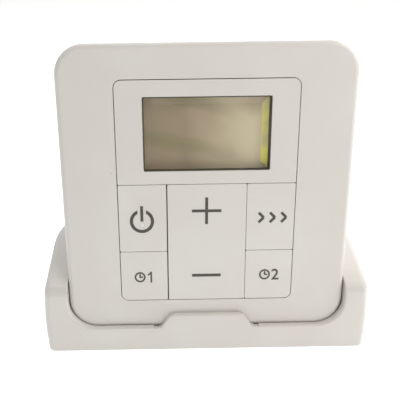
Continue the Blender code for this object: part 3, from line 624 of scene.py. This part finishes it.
def key_cap(node, name, corner_radii, left=FIT):
    """Cap of one key, which fits its opening closely; the left edge may have a fit of its own."""
    low, high = place_of(node)
    low -= Vector((left, FIT, 0))
    high += Vector((FIT, FIT, 0))
    cap = block(name, (low.x, low.y, -CAP), (high.x, high.y, 0))
    centre = (low + high) / 2
    for side_x, side_y, radius in corner_radii:
        round_edges(cap, radius, 8 if radius > 1 else 3, lambda at, along: (
            upright(at, along) and (at.x - centre.x) * side_x > 0
            and (at.y - centre.y) * side_y > 0))
    cut(cap, block("recess", (low.x + KEY_WALL, low.y + KEY_WALL, -CAP - 1),
                   (high.x - KEY_WALL, high.y - KEY_WALL, -KEY_WALL)))
    return cap, low, high


def corner_list(round_x=0, round_y=0):
    """The four corners, sharp but for the one on the panel's own round corner."""
    return [(x, y, PANEL_CORNER if (x, y) == (round_x, round_y) else SMALL_CORNER)
            for x in (-1, 1) for y in (-1, 1)]


def key_post(at, end):
    return block("post", (at.x - POST_HALF, at.y - POST_HALF, end),
                 (at.x + POST_HALF, at.y + POST_HALF, -1))


def single_key(node, name, switch, body, corner):
    cap, low, high = key_cap(node, name, corner_list(*corner))
    at = middle_of("switch_plunger_" + switch)
    fuse(cap, key_post(at, low.z + 0.2))
    fuse(cap, block("foot", (at.x - 1.4, at.y - 2.3, low.z), (at.x + 1.4, at.y + 2.3, low.z + 0.5)))
    if switch == "power":
        dot = middle_of("power_light_pipe")
        cut(cap, drum("light_hole", (dot.x, dot.y, -1), 0.63, 6, sides=24))
    soften(cap, KEY_EDGE)
    done(smooth(cap), key_abs, body, "key_plastic", node)


single_key("key_power", "power_key_cap", "power", "power_key", (0, 0))
single_key("key_program_1", "first_program_key_cap", "program_1", "program_1_key", (-1, -1))
single_key("key_boost", "boost_key_cap", "boost", "boost_key", (0, 0))
single_key("key_program_2", "second_program_key_cap", "program_2", "program_2_key", (1, -1))

LEFT_FIT = -0.12
AXLE_DEPTH = -3.0
rocker, rocker_low, rocker_high = key_cap("key_plus_minus", "plus_minus_key_cap", corner_list(),
                                          LEFT_FIT)
axle_y = (rocker_low.y + rocker_high.y) / 2
for switch in ("plus", "minus"):
    fuse(rocker, key_post(middle_of("switch_plunger_" + switch), rocker_low.z))
fuse(rocker, block("web", (-8.8, axle_y - 0.5, AXLE_DEPTH), (8.8, axle_y + 0.5, -1)))
fuse(rocker, drum("axle", (0, axle_y, AXLE_DEPTH), 0.9, 18.0, "X", 24))
soften(rocker, KEY_EDGE)
done(smooth(rocker), key_abs, "plus_minus_key", "key_plastic", "key_plus_minus")

pipe_low, pipe_high = place_of("power_light_pipe")
pipe_at = (pipe_low + pipe_high) / 2
pipe = drum("indicator_light_pipe", pipe_at, 0.6, pipe_high.z - pipe_low.z, sides=24)
soften(pipe, 0.1, 3)
done(smooth(pipe), milky_acrylic, "power_key", "clear_window", "power_light_pipe")
print("keys made:", [name for name in pieces_made if "key_cap" in name])

# %% [markdown]
# ## Printed symbols
# Each symbol is a film of ink 0.03 mm thick. A bar is a thin block, a ring is a cylinder with its
# middle cut out. The 1 is a bar with a flag, and the 2 comes from Blender's plain built-in font, made
# into a mesh. The power symbol is a ring open at the top with a stroke through the gap. Where the keys
# of such timers carry a word, this one has plain signs: a clock and a numeral for each program, and
# three chevrons for the boost.

# %% Print the symbols
FILM = 0.03
LIFT = 0.012


def film(name, low_x, high_x, low_y, high_y):
    return block(name, (low_x, low_y, LIFT), (high_x, high_y, LIFT + FILM))


def ring(name, x, y, outer, stroke):
    disc = drum(name, (x, y, LIFT + FILM / 2), outer, FILM, sides=64)
    return cut(disc, drum("middle", (x, y, 0), outer - stroke, 2, sides=64))


def turned_about(obj, x, y, degrees, move=(0, 0, 0)):
    """Turns a finished mesh about an upright axis, and can move it afterwards."""
    with editing(obj):
        bpy.ops.mesh.select_all(action="SELECT")
        bpy.ops.transform.rotate(value=math.radians(-degrees), orient_axis="Z",
                                 center_override=(x * MM, y * MM, 0))
        bpy.ops.transform.translate(value=Vector(move) * MM)
    return obj


def printed(obj, body):
    return done(obj, printed_ink, body, "key_plastic")


RING_X = -18.94
RING_Y = -7.78
RING_OUTER = 3.55
RING_STROKE = 0.95
GAP_HALF = 1.25
BAR_HALF = 0.42
power_ring = ring("power_symbol", RING_X, RING_Y, RING_OUTER, RING_STROKE)
cut(power_ring, block("gap", (RING_X - GAP_HALF, RING_Y + 1, -1),
                      (RING_X + GAP_HALF, RING_Y + 5, 1)))
fuse(power_ring, film("stroke", RING_X - BAR_HALF, RING_X + BAR_HALF, RING_Y - 0.05, RING_Y + 4.6))
printed(power_ring, "power_key")

PLUS_Y = -4.87
MINUS_Y = -24.95
plus = film("plus_symbol", -4.3, 4.3, PLUS_Y - BAR_HALF, PLUS_Y + BAR_HALF)
fuse(plus, film("upright_bar", -BAR_HALF, BAR_HALF, PLUS_Y - 4.0, PLUS_Y + 4.0))
printed(plus, "plus_minus_key")
printed(soften(film("minus_symbol", -4.33, 4.33, MINUS_Y - 0.45, MINUS_Y + 0.45), 0.005, 1),
        "plus_minus_key")


def numeral(name, character, x, y, height):
    """A numeral as a thin solid, from the built-in font."""
    bpy.ops.object.select_all(action="DESELECT")
    bpy.ops.object.text_add()
    text = bpy.context.object
    text.data.body = character
    text.data.align_x = "CENTER"
    half_thickness = 0.01
    text.data.size = 1.0
    text.data.extrude = half_thickness
    text.data.offset = 0.012
    bpy.ops.object.convert(target="MESH")
    low = min(vertex.co.y for vertex in text.data.vertices)
    high = max(vertex.co.y for vertex in text.data.vertices)
    size = height / (high - low)
    text.scale = (size * MM, size * MM, FILM * MM / (2 * half_thickness))
    text.location = Vector((x, y - (low + high) / 2 * size, LIFT + FILM / 2)) * MM
    return named(name)


CLOCK = 1.65
HAND = 0.23


def clock_sign(name, x, y, body):
    """A small clock face, which marks a timed program."""
    clock = ring(name, x, y, CLOCK, 0.5)
    fuse(clock, film("long_hand", x - HAND, x + HAND, y - HAND, y + 1.0))
    fuse(clock, film("short_hand", x - HAND, x + 0.85, y - HAND, y + HAND))
    printed(clock, body)


SIGN_Y = -25.3
clock_sign("first_program_sign", -20.0, SIGN_Y, "program_1_key")
one = film("first_program_numeral", -16.9, -16.4, SIGN_Y - 1.75, SIGN_Y + 1.75)
flag = turned_about(film("flag", -17.9, -16.45, SIGN_Y + 1.15, SIGN_Y + 1.6), -16.65,
                    SIGN_Y + 1.4, 35)
printed(fuse(one, flag), "program_1_key")
clock_sign("second_program_sign", 17.6, SIGN_Y + 0.3, "program_2_key")
printed(numeral("second_program_numeral", "2", 20.75, SIGN_Y + 0.3, 3.5), "program_2_key")

BOOST_X = 18.95
BOOST_Y = -7.15
CHEVRON_STEP = 3.3
for number in range(3):
    x = BOOST_X + (number - 1) * CHEVRON_STEP
    lower, upper = (
        turned_about(film("arm", x - 1.05, x + 1.05, BOOST_Y - 0.4, BOOST_Y + 0.4), x, BOOST_Y,
                     -side * 45, (0.35, side * 0.72, 0))
        for side in (-1, 1))
    chevron = fuse(lower, upper)
    chevron.name = f"boost_chevron_{number + 1}"
    printed(chevron, "boost_key")
ink_words = ("symbol", "sign", "numeral", "chevron")
print("films of ink:", len([name for name in pieces_made if any(w in name for w in ink_words)]))

# %% [markdown]
# ## Rear moulding
# The rear moulding meets the front one at a seam round the rim. Behind the rim it steps in to a
# smaller housing that holds the board and the battery bay. It's two blocks joined: the rim, and the
# housing, whose rear face is scaled down a little so that the part can leave its mould. The cavity is
# one block too. The bay's walls and four posts are taken out of it first, so the cut leaves them.

# %% Model the rear moulding
HOUSING = 36.0
HOUSING_CORNER = 6.0
DRAFT = 35.0 / 36.0
rear_low, rear_high = place_of("rear_shell")
RIM_BACK = -9.8


def tapered_block(name, half, back, front_z, radius):
    """A round-cornered block whose rear face is a little smaller than its front one."""
    made = rounded_block(name, (-half, -half, back), (half, half, front_z), radius)
    with editing(made):
        pick(made, "FACE", lambda at, normal: normal.z < -0.99)
        bpy.ops.transform.resize(value=(DRAFT, DRAFT, 1), center_override=(0, 0, back * MM))
    return made


rear = rounded_block("rear_moulding", (rear_low.x, rear_low.y, RIM_BACK), rear_high, FACE_CORNER, 14)
round_edges(rear, 1.0, 4, lambda at, along: at.z < RIM_BACK + 0.01)
housing = tapered_block("housing", HOUSING, rear_low.z, RIM_BACK + 1, HOUSING_CORNER)
round_edges(housing, 1.2, 4, lambda at, along: at.z < rear_low.z + 0.01)
fuse(rear, housing)
BAY_HALF = 25.0
BAY_LOW = 1.45
BAY_HIGH = 24.35
BAY_FLOOR = -11.8
BAY_WALL = 1.2
cavity = tapered_block("cavity", HOUSING - 2, rear_low.z + 3, 0, HOUSING_CORNER - 2)
cut(cavity, block("bay_walls", (-BAY_HALF - BAY_WALL, BAY_LOW - BAY_WALL, -30),
                  (BAY_HALF + BAY_WALL, BAY_HIGH + BAY_WALL, BAY_FLOOR + BAY_WALL)))
POST = 29.5
for x, y in ((-POST, -POST), (-POST, POST), (POST, -POST), (POST, POST)):
    cut(cavity, drum("post", (x, y, -20), BOSS, 19, sides=24))
cut(rear, cavity)
cut(rear, block("bay", (-BAY_HALF, BAY_LOW, -30), (BAY_HALF, BAY_HIGH, BAY_FLOOR)))
print("rear moulding is", round(rear_high.z - rear_low.z, 1), "mm deep")

# %% [markdown]
# The door's opening is a dovetail, a strip that is wider at its inner face, so the door can slide out
# and can't fall out. The opening is the door's own shape grown by the clearance. The screw holes are
# drilled after it, and the edges are softened last, all together.

# %% Cut the door's opening and the screw holes
door_low, door_high = place_of("battery_door")
DOOR_GAP = 0.3
BEHIND_DOOR = -26.0
COUNTERBORE = 2.3


def dovetail(name, growth, low_y, high_y, inner, outer):
    """A flat strip that is wider at its inner face, so it can only slide out."""
    half = (door_high.x - door_low.x) / 2 + growth
    strip = block(name, (-half, low_y, outer), (half, high_y, inner))
    slope = 1.0 / (door_high.z - door_low.z)
    with editing(strip):
        pick(strip, "FACE", lambda at, normal: normal.z < -0.99)
        narrow = (half - slope * (inner - outer)) / half
        bpy.ops.transform.resize(value=(narrow, 1, 1), center_override=(0, 0, outer * MM))
    return strip


cut(rear, dovetail("door_opening", DOOR_GAP, door_low.y - DOOR_GAP, 40, door_high.z + DOOR_GAP,
                   BEHIND_DOOR))
for at in case_screw_at:
    cut(rear, drum("screw_hole", (at.x, at.y, -9), PILOT, 8, sides=16))
    cut(rear, drum("counterbore", (at.x, at.y, RIM_BACK), COUNTERBORE, 3.0, sides=32))
for x, y in ((-POST, POST), (POST, -POST)):
    cut(rear, drum("board_pilot", (x, y, -11.5), PILOT, 9, sides=16))
soften(rear, 0.15, 2)
done(smooth(rear), case_abs, "timer", "case_plastic", "rear_shell")
print("rear moulding has", len(rear.data.polygons), "faces")

# %% [markdown]
# ## Battery door
# The door is a dovetailed strip that slides up and off. Three grooves give the thumb a hold. They're
# cut with thin blocks rather than drawn as bumps, because they are half a millimetre deep and their
# ends are seen.

# %% Model the battery door
door = dovetail("sliding_battery_cover", 0, door_low.y, door_high.y, door_high.z, door_low.z)
GRIP_HALF = 8.0
for y in (2.0, 4.0, 6.0):
    cut(door, block("grip", (-GRIP_HALF, y - 0.5, door_low.z - 1),
                    (GRIP_HALF, y + 0.5, door_low.z + 0.5)))
soften(door, 0.25, 3)
done(smooth(door), case_abs, "battery_cover", "case_plastic", "battery_door")
print("battery door", [round(side, 1) for side in door_high - door_low])

# %% [markdown]
# ## Cells
# Two small cells lie head to tail. A cell is a cylinder whose end is inset and pulled out for the
# button, with rolled edges from a bevel. The sleeve is one finish and the bare metal ends another, and
# each face gets the right one from its distance to the axis.

# %% Model the two cells
def cell_body(name, node, button_side):
    low, high = place_of(node)
    radius = (high.y - low.y) / 2
    at = (low + high) / 2
    body = drum(name, at - Vector((0.5 * button_side, 0, 0)), radius, high.x - low.x - 1, "X", 48)
    with editing(body):
        pick(body, "FACE", lambda at, normal: normal.x * button_side > 0.99)
        bpy.ops.mesh.inset(thickness=(radius - 1.9) * MM)
        bpy.ops.mesh.extrude_region_move(
            TRANSFORM_OT_translate={"value": (button_side * MM, 0, 0)})
    soften(body, 0.35, 3)
    body.data.materials.append(sleeve)
    body.data.materials.append(nickel)
    for face in body.data.polygons:
        off_axis = math.hypot(face.center.y / MM - at.y, face.center.z / MM - at.z)
        face.material_index = 1 if off_axis < radius - 0.7 else 0
    return done(smooth(body), None, "timer", "cell_sleeve", node)


cell_body("lower_cell", "battery_lower", 1)
cell_body("upper_cell", "battery_upper", -1)
print("cells:", [name for name in pieces_made if name.endswith("_cell")])

# %% [markdown]
# ## Screws and feet
# A screw is modelled once, with its head up: a cylinder for the head, rounded on top, a shank joined
# below, and two crossing slots cut into the head. Each place gets its own copy. The case screws come
# from behind, so theirs are turned over.

# %% Model the screws and the rubber feet
def screw_master(head_height, length):
    head = drum("screw", (0, 0, head_height / 2), 1.9, head_height, sides=32)
    round_edges(head, head_height * 0.45, 4, lambda at, along: at.z > head_height - 0.01)
    fuse(head, drum("shank", (0, 0, -length / 2), 1.0, length + 0.02, sides=20))
    depth = head_height * 0.7
    for size in ((2.2, 0.5), (0.5, 2.2)):
        cut(head, block("slot", (-size[0] / 2, -size[1] / 2, head_height - depth),
                        (size[0] / 2, size[1] / 2, 3)))
    return smooth(head, 30)


def copy_to(master, name, at, over=False):
    take(master)
    bpy.ops.object.duplicate(linked=False)
    copy = bpy.context.object
    copy.location = Vector(at) * MM
    if over:
        copy.rotation_euler.x = math.pi
    return named(name)


case_screw = screw_master(1.0, 5.6)
for number, at in enumerate(case_screw_at, 1):
    low, high = place_of(f"case_screw_{number}")
    done(copy_to(case_screw, f"rear_screw_{number}", (at.x, at.y, low.z + 1.0), True),
         nickel, "timer", "steel", f"case_screw_{number}")
for number in (1, 2):
    low, high = place_of(f"board_screw_{number}")
    at = (low + high) / 2
    done(copy_to(case_screw, f"board_fixing_{number}", (at.x, at.y, high.z - 1.0)),
         nickel, "timer", "steel", f"board_screw_{number}")
bpy.data.objects.remove(case_screw)

base_screw = screw_master(0.5, 2.6)
FOOT = 4.0
foot_low, foot_high = (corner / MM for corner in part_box("stand_foot_1"))
foot = drum("foot", (0, 0, foot_high.z / 2), FOOT, foot_high.z, sides=48)
with editing(foot):
    pick(foot, "FACE", lambda at, normal: normal.z < -0.99)
    bpy.ops.mesh.inset(thickness=0.9 * MM)
    bpy.ops.mesh.inset(thickness=0.5 * MM, depth=-0.25 * MM)
soften(foot, 0.15)
smooth(foot)
for number in (1, 2, 3, 4):
    low, high = (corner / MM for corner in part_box(f"base_screw_{number}"))
    at = (low + high) / 2
    done(copy_to(base_screw, f"stand_screw_{number}", (at.x, at.y, low.z + 0.5), True),
         nickel, "stand", "steel", f"base_screw_{number}", leaning=False)
    low, high = (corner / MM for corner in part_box(f"stand_foot_{number}"))
    at = (low + high) / 2
    done(copy_to(foot, f"rubber_foot_{number}", (at.x, at.y, 0)),
         foot_rubber, "stand", "foot_rubber", f"stand_foot_{number}", leaning=False)
bpy.data.objects.remove(base_screw)
bpy.data.objects.remove(foot)
print("screws and feet in place, foot", round(foot_high.z - foot_low.z, 1), "mm high")

# %% [markdown]
# ## Stand
# The stand is a hollow moulding that holds the timer by its lower half. Its outside starts as a block.
# The top front edge moves back, so that the front leans like the timer's face, and a bisect with a
# sloping plane makes the top rise to the rear. Then the upright edges are rounded, small at the
# front and large at the rear, the sides swell slightly at half height, and the top edge is rounded.

# %% Model the stand's outside
stand_low, stand_high = (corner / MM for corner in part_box("stand_shell"))
SIDE = 49.3
SWELL = 0.45
SLOPE = 0.328
TOP_AT = Vector((0, -17.56, 19.9))
FRONT_CORNER = 2.5
REAR_CORNER = 14.2
TOP_ROUND = 2.0
lean_per_mm = UP_FACE.y / UP_FACE.z


def stand_form(name, inset, bottom, head_room, front_corner, rear_corner):
    """The stand's outer form, or, inset, the form of its cavity."""
    side = SIDE - inset
    front_y = stand_low.y + inset / UP_FACE.z
    back_y = stand_high.y - inset
    tall = 60.0
    near_front = front_y + 12
    form = block(name, (-side, front_y, stand_low.z), (side, back_y, tall))
    with editing(form):
        pick(form, "EDGE", lambda at, along: at.y < front_y + 0.1 and at.z > tall - 0.1)
        bpy.ops.transform.translate(value=(0, (tall - stand_low.z) * lean_per_mm * MM, 0))
        bpy.ops.mesh.select_all(action="SELECT")
        top = TOP_AT - Vector((0, 0, head_room))
        bpy.ops.mesh.bisect(plane_co=top * MM, plane_no=(0, -SLOPE, 1), clear_outer=True,
                            use_fill=True)
        if bottom < stand_low.z:
            pick(form, "FACE", lambda at, normal: normal.z < -0.99)
            bpy.ops.transform.translate(value=(0, 0, (bottom - stand_low.z) * MM))
    round_edges(form, front_corner, 6, lambda at, along: (
        abs(along.z) > 0.9 and at.y < near_front and abs(at.x) > side - 0.1))
    round_edges(form, rear_corner, 14, lambda at, along: (
        abs(along.z) > 0.9 and at.y > back_y - 0.1 and abs(at.x) > side - 0.1))
    heights = [stand_low.z + (TOP_AT.z - stand_low.z) * share for share in (0.25, 0.5, 0.75)]
    with editing(form):
        for height in heights:
            bpy.ops.mesh.select_all(action="SELECT")
            bpy.ops.mesh.bisect(plane_co=(0, 0, height * MM), plane_no=(0, 0, 1))
        for height, swell in zip(heights, (0.75, 1.0, 0.75)):
            pick(form, "EDGE", lambda at, along: abs(at.z - height) < 0.01)
            bpy.ops.transform.resize(value=(1 + swell * SWELL / SIDE, 1, 1),
                                     center_override=(0, 0, 0))
    return form


stand = stand_form("stand_moulding", 0, stand_low.z, 0, FRONT_CORNER, REAR_CORNER)


def on_top_edge(at, along):
    height = TOP_AT.z + SLOPE * (at.y - TOP_AT.y)
    return abs(at.z - height) < 0.3


round_edges(stand, TOP_ROUND, 6, on_top_edge)
round_edges(stand, 0.3, 2, lambda at, along: at.z < stand_low.z + 0.01)
print("stand outside has", len(stand.data.polygons), "faces")

# %% [markdown]
# ## The stand's pocket
# The timer drops into a pocket cut at the lean of its face. The pocket steps in behind the rim of the
# timer, so a wide and a narrower block make it. It ends just behind the face, so the lip in front
# lies over the timer's round lower edge. In front, a broad tab with round shoulders stands up to hold
# the timer in. The cutting block is made in the timer's directions, the tab is taken out of it, and
# then it's leaned and cut from the stand. So the tab is what the cut leaves, and a thin block cut
# behind it keeps it off the face.

# %% Cut the pocket, the cavity below and the front opening
HALF_FACE = 42
CLEAR = 0.18
POCKET_FRONT = -0.15
OPENING_BACK = -0.35
LIP = -41.25
LIP_CORNER = 9.0
TAB_TOP = -37.2
TAB_TOP_HALF = 11.1
TAB_FOOT = 14.7
TAB_ROUND = 1.6
NOTCH = 0.35
NOTCH_HALF = 0.8
OPEN_TOP = 60
STAND_WALL = 2.2
BASE_GAP = 0.3


def lower_upright(at, direction):
    return upright(at, direction) and at.y < 0


def upper_upright(at, direction):
    return upright(at, direction) and at.y > 0


def pocket(grow, front_z):
    """The rim's and the housing's cutting blocks, larger than the timer all round."""
    rim_half = HALF_FACE + CLEAR + grow
    rim = block("rim_pocket", (-rim_half, -rim_half, RIM_BACK - CLEAR - grow),
                (rim_half, OPEN_TOP, front_z))
    round_edges(rim, FACE_CORNER + CLEAR + grow, 12, lower_upright)
    narrow = HOUSING + CLEAR + grow
    back = block("housing_pocket", (-narrow, -narrow, rear_low.z - CLEAR - grow),
                 (narrow, OPEN_TOP, RIM_BACK))
    round_edges(back, HOUSING_CORNER + CLEAR + grow, 10, lower_upright)
    return leaned(rim), leaned(back)


space_below = stand_form("space_below", STAND_WALL, -2.0, 2.4, 0.5, 10.8)
cut(space_below, *pocket(1.2, 20))
base_screw_at = [sum(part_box(f"base_screw_{number}"), Vector()) / 2 / MM for number in (1, 2, 3, 4)]
for at in base_screw_at:
    cut(space_below, drum("post", (at.x, at.y, 20), 2.8, 42, sides=24))
cut(stand, space_below)
base_low, base_high = (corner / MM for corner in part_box("stand_base"))
base_space = block("base_space", base_low - Vector((BASE_GAP, BASE_GAP, 3)),
                   base_high + Vector((BASE_GAP, BASE_GAP, BASE_GAP)))
round_edges(base_space, 10.5, 10, upper_upright)
round_edges(base_space, 0.6, 3, lower_upright)
cut(stand, base_space)
cut(stand, *pocket(0, POCKET_FRONT))
cut(stand, leaned(block("tab_relief", (-TAB_FOOT - 1, -41, -0.5), (TAB_FOOT + 1, -30, 0.06))))

opening = block("opening", (-HALF_FACE - CLEAR, LIP, OPENING_BACK),
                (HALF_FACE + CLEAR, OPEN_TOP, 12))
round_edges(opening, LIP_CORNER, 14, lower_upright)
tab = block("tab", (-TAB_FOOT, LIP - 1, -1), (TAB_FOOT, TAB_TOP, 13))
with editing(tab):
    pick(tab, "EDGE", lambda at, along: at.y > TAB_TOP - 0.1 and abs(at.x) > 10
         and abs(along.z) > 0.9)
    bpy.ops.transform.resize(value=(TAB_TOP_HALF / TAB_FOOT, 1, 1), center_override=(0, 0, 0))
round_edges(tab, TAB_ROUND, 6, lambda at, along: upright(at, along) and at.y > TAB_TOP - 0.1)
cut(opening, tab)
NOTCH_AT = TAB_FOOT + 0.7
for x in (-NOTCH_AT, NOTCH_AT):
    fuse(opening, block("notch", (x - NOTCH_HALF, LIP - NOTCH, -0.3), (x + NOTCH_HALF, -39, 12)))
cut(stand, leaned(opening))
for at in base_screw_at:
    cut(stand, drum("pilot", (at.x, at.y, 2.5), PILOT, 4.6, sides=16))
print("stand cut, now", len(stand.data.polygons), "faces")

# %% [markdown]
# ## Round edges of the stand
# The front rim of the opening is round, most of all in its two lower corners, and the edges of the
# small notches are only broken. Edge bevel weights say so: one Bevel modifier reads them, so all of the
# corners where different edges meet are made together. First, vertices that the cuts left side by side
# are merged and the lines they left across flat faces dissolved, to give the bevel clean edges.

# %% Round the stand's edges
RIM_ROUND = 1.3
RIM_SHARE = 0.4
CORNER_SHARE = 0.36
NOTCH_SHARE = 0.1
SHARP = math.radians(35)


def in_face_frame(at):
    return LEAN.inverted() @ (at * MM) / MM


with editing(stand):
    bpy.ops.mesh.select_mode(type="EDGE")
    bpy.ops.mesh.select_all(action="SELECT")
    bpy.ops.mesh.remove_doubles(threshold=0.03 * MM)
    bpy.ops.mesh.dissolve_limited(angle_limit=math.radians(0.6))
    bpy.ops.mesh.select_all(action="DESELECT")
    shape = bmesh.from_edit_mesh(stand.data)
    weights = shape.edges.layers.float.new("bevel_weight_edge")
    for edge in shape.edges:
        middle = (edge.verts[0].co + edge.verts[1].co) / 2 / MM
        flat = len(edge.link_faces) != 2 or edge.calc_face_angle() < SHARP
        if flat or not edge.is_convex or middle.z < stand_low.z + 1:
            continue
        at = in_face_frame(middle)
        if abs(abs(at.x) - NOTCH_AT) < NOTCH_HALF + 0.1 and at.y < LIP + 0.1:
            edge[weights] = NOTCH_SHARE
        elif at.z > 0.6 and at.y < -31:
            into_corner = min((abs(at.x) - 33) / 4.5, (-32 - at.y) / 4.5, 1)
            edge[weights] = RIM_SHARE + CORNER_SHARE * max(into_corner, 0)
    bmesh.update_edit_mesh(stand.data)
finish(stand, "BEVEL", width=RIM_ROUND * MM, segments=5, limit_method="WEIGHT",
       use_clamp_overlap=False)
done(smooth(stand), case_abs, "stand", "case_plastic", "stand_shell", leaning=False)
print("stand finished with", len(stand.data.polygons), "faces")

# %% [markdown]
# ## Stand base
# A flat cover closes the stand from below. It has a round recess for each rubber foot and a
# counterbored hole for each screw.

# %% Model the stand base
base = block("stand_cover", base_low, base_high)
RECESS = 1.8
round_edges(base, 10.3, 10, upper_upright)
round_edges(base, 0.5, 3, lower_upright)
for number, at in enumerate(base_screw_at, 1):
    cut(base, drum("hole", (at.x, at.y, 0), PILOT, 8, sides=16))
    cut(base, drum("counterbore", (at.x, at.y, base_low.z), COUNTERBORE, RECESS, sides=32))
    foot_at = sum(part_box(f"stand_foot_{number}"), Vector()) / 2 / MM
    cut(base, drum("recess", (foot_at.x, foot_at.y, base_low.z), FOOT + BASE_GAP, RECESS, sides=48))
soften(base, 0.15, 2)
done(smooth(base), case_abs, "stand", "case_plastic", "stand_base", leaning=False)
print("base", [round(side, 1) for side in base_high - base_low])

# %% [markdown]
# ## Parts inside
# The parts that show only through a gap keep their engineering shape, and get the finish of their
# real material.

# %% Give the inner parts their finishes
inner_finishes = {
    "key_carrier": inner_abs, "lcd_holder": inner_abs, "lcd_backlight": painted_guide_glow,
    "lcd_contact_strip": silicone, "main_board": solder_resist, "processor_chip": chip_resin,
    "radio_module": nickel, "clock_crystal": nickel, "supply_capacitor": plunger_plastic,
    "power_indicator": acrylic, "radio_antenna": brass, "battery_bridge": nickel,
    "battery_terminal_lower": nickel, "battery_terminal_upper": nickel,
    "battery_spring_lower": nickel, "battery_spring_upper": nickel,
}
for name, node in frame["nodes"].items():
    if name.startswith("switch_body"):
        inner_finishes[name] = chip_resin
    elif name.startswith("switch_plunger"):
        inner_finishes[name] = plunger_plastic
    if name in inner_finishes:
        node.data.materials.clear()
        node.data.materials.append(inner_finishes[name])
print("inner parts finished:", len(inner_finishes))

# %% [markdown]
# ## Table and light
# The object stands on a white light table, which glows a little, so its shadow stays faint. Soft light
# comes from all round, and the camera sees plain white behind. Three softboxes add to it: a slightly
# warm one to the front right, one to the rear right, and a large one above and behind on the left. The
# two on the right brighten the edges that face them and leave the left ones a tone darker.

# %% Make the table and the lights
bpy.ops.object.select_all(action="DESELECT")
bpy.ops.mesh.primitive_plane_add(size=6.0, location=(0, 0, 0))
table = named("light_table")


def opal_acrylic(name, glow):
    made, tree, shader, place = start_material(name, Roughness=0.6, IOR=1.49)
    cloud = add(tree, "TexNoise", {"Scale": per_mm(300)}, {"Vector": place})
    tone = blend_colours(tree, cloud.outputs[0], "#F9F9F8", "#F6F6F6")
    tree.links.new(tone, shader.inputs["Base Color"])
    tree.links.new(tone, shader.inputs["Emission Color"])
    shader.inputs["Emission Strength"].default_value = glow
    return made


table.data.materials.append(opal_acrylic("opal_acrylic_table", 0.7))
bpy.context.scene.view_settings.view_transform = "Standard"

world = bpy.data.worlds.new("studio")
world.use_nodes = True
sky = world.node_tree.nodes["Background"]
sky.inputs["Color"].default_value = linear("#FFFEFC")
sky.inputs["Strength"].default_value = 0.35
seen = add(world.node_tree, "LightPath")
white = add(world.node_tree, "Background", {"Color": (1, 1, 1, 1), "Strength": 1.0})
studio = add(world.node_tree, "MixShader", (), {
    0: seen.outputs["Is Camera Ray"], 1: sky.outputs[0], 2: white.outputs[0]})
world.node_tree.links.new(studio.outputs[0], world.node_tree.nodes["World Output"].inputs[0])
bpy.context.scene.world = world


def softbox(name, direction, distance, size, power, colour):
    lamp = bpy.data.lights.new(name, "AREA")
    lamp.shape = "RECTANGLE"
    lamp.size, lamp.size_y = size
    lamp.energy = power
    lamp.color = linear(colour)[:3]
    obj = bpy.data.objects.new(name, lamp)
    way = Vector(direction).normalized()
    obj.location = way * distance
    obj.rotation_euler = way.to_track_quat("Z", "Y").to_euler()
    bpy.context.scene.collection.objects.link(obj)
    return obj


softbox("key_softbox", (0.9, -0.4, 1.1), 0.45, (0.3, 0.3), 0.82, "#FFFAF0")
softbox("side_softbox", (1.0, 0.6, 0.9), 0.6, (0.35, 0.35), 1.5, "#FFFFFF")
softbox("top_softbox", (-0.5, 0.6, 1.0), 0.9, (0.8, 0.8), 3.2, "#FFFFFF")
print("lights:", [lamp.name for lamp in bpy.data.lights])
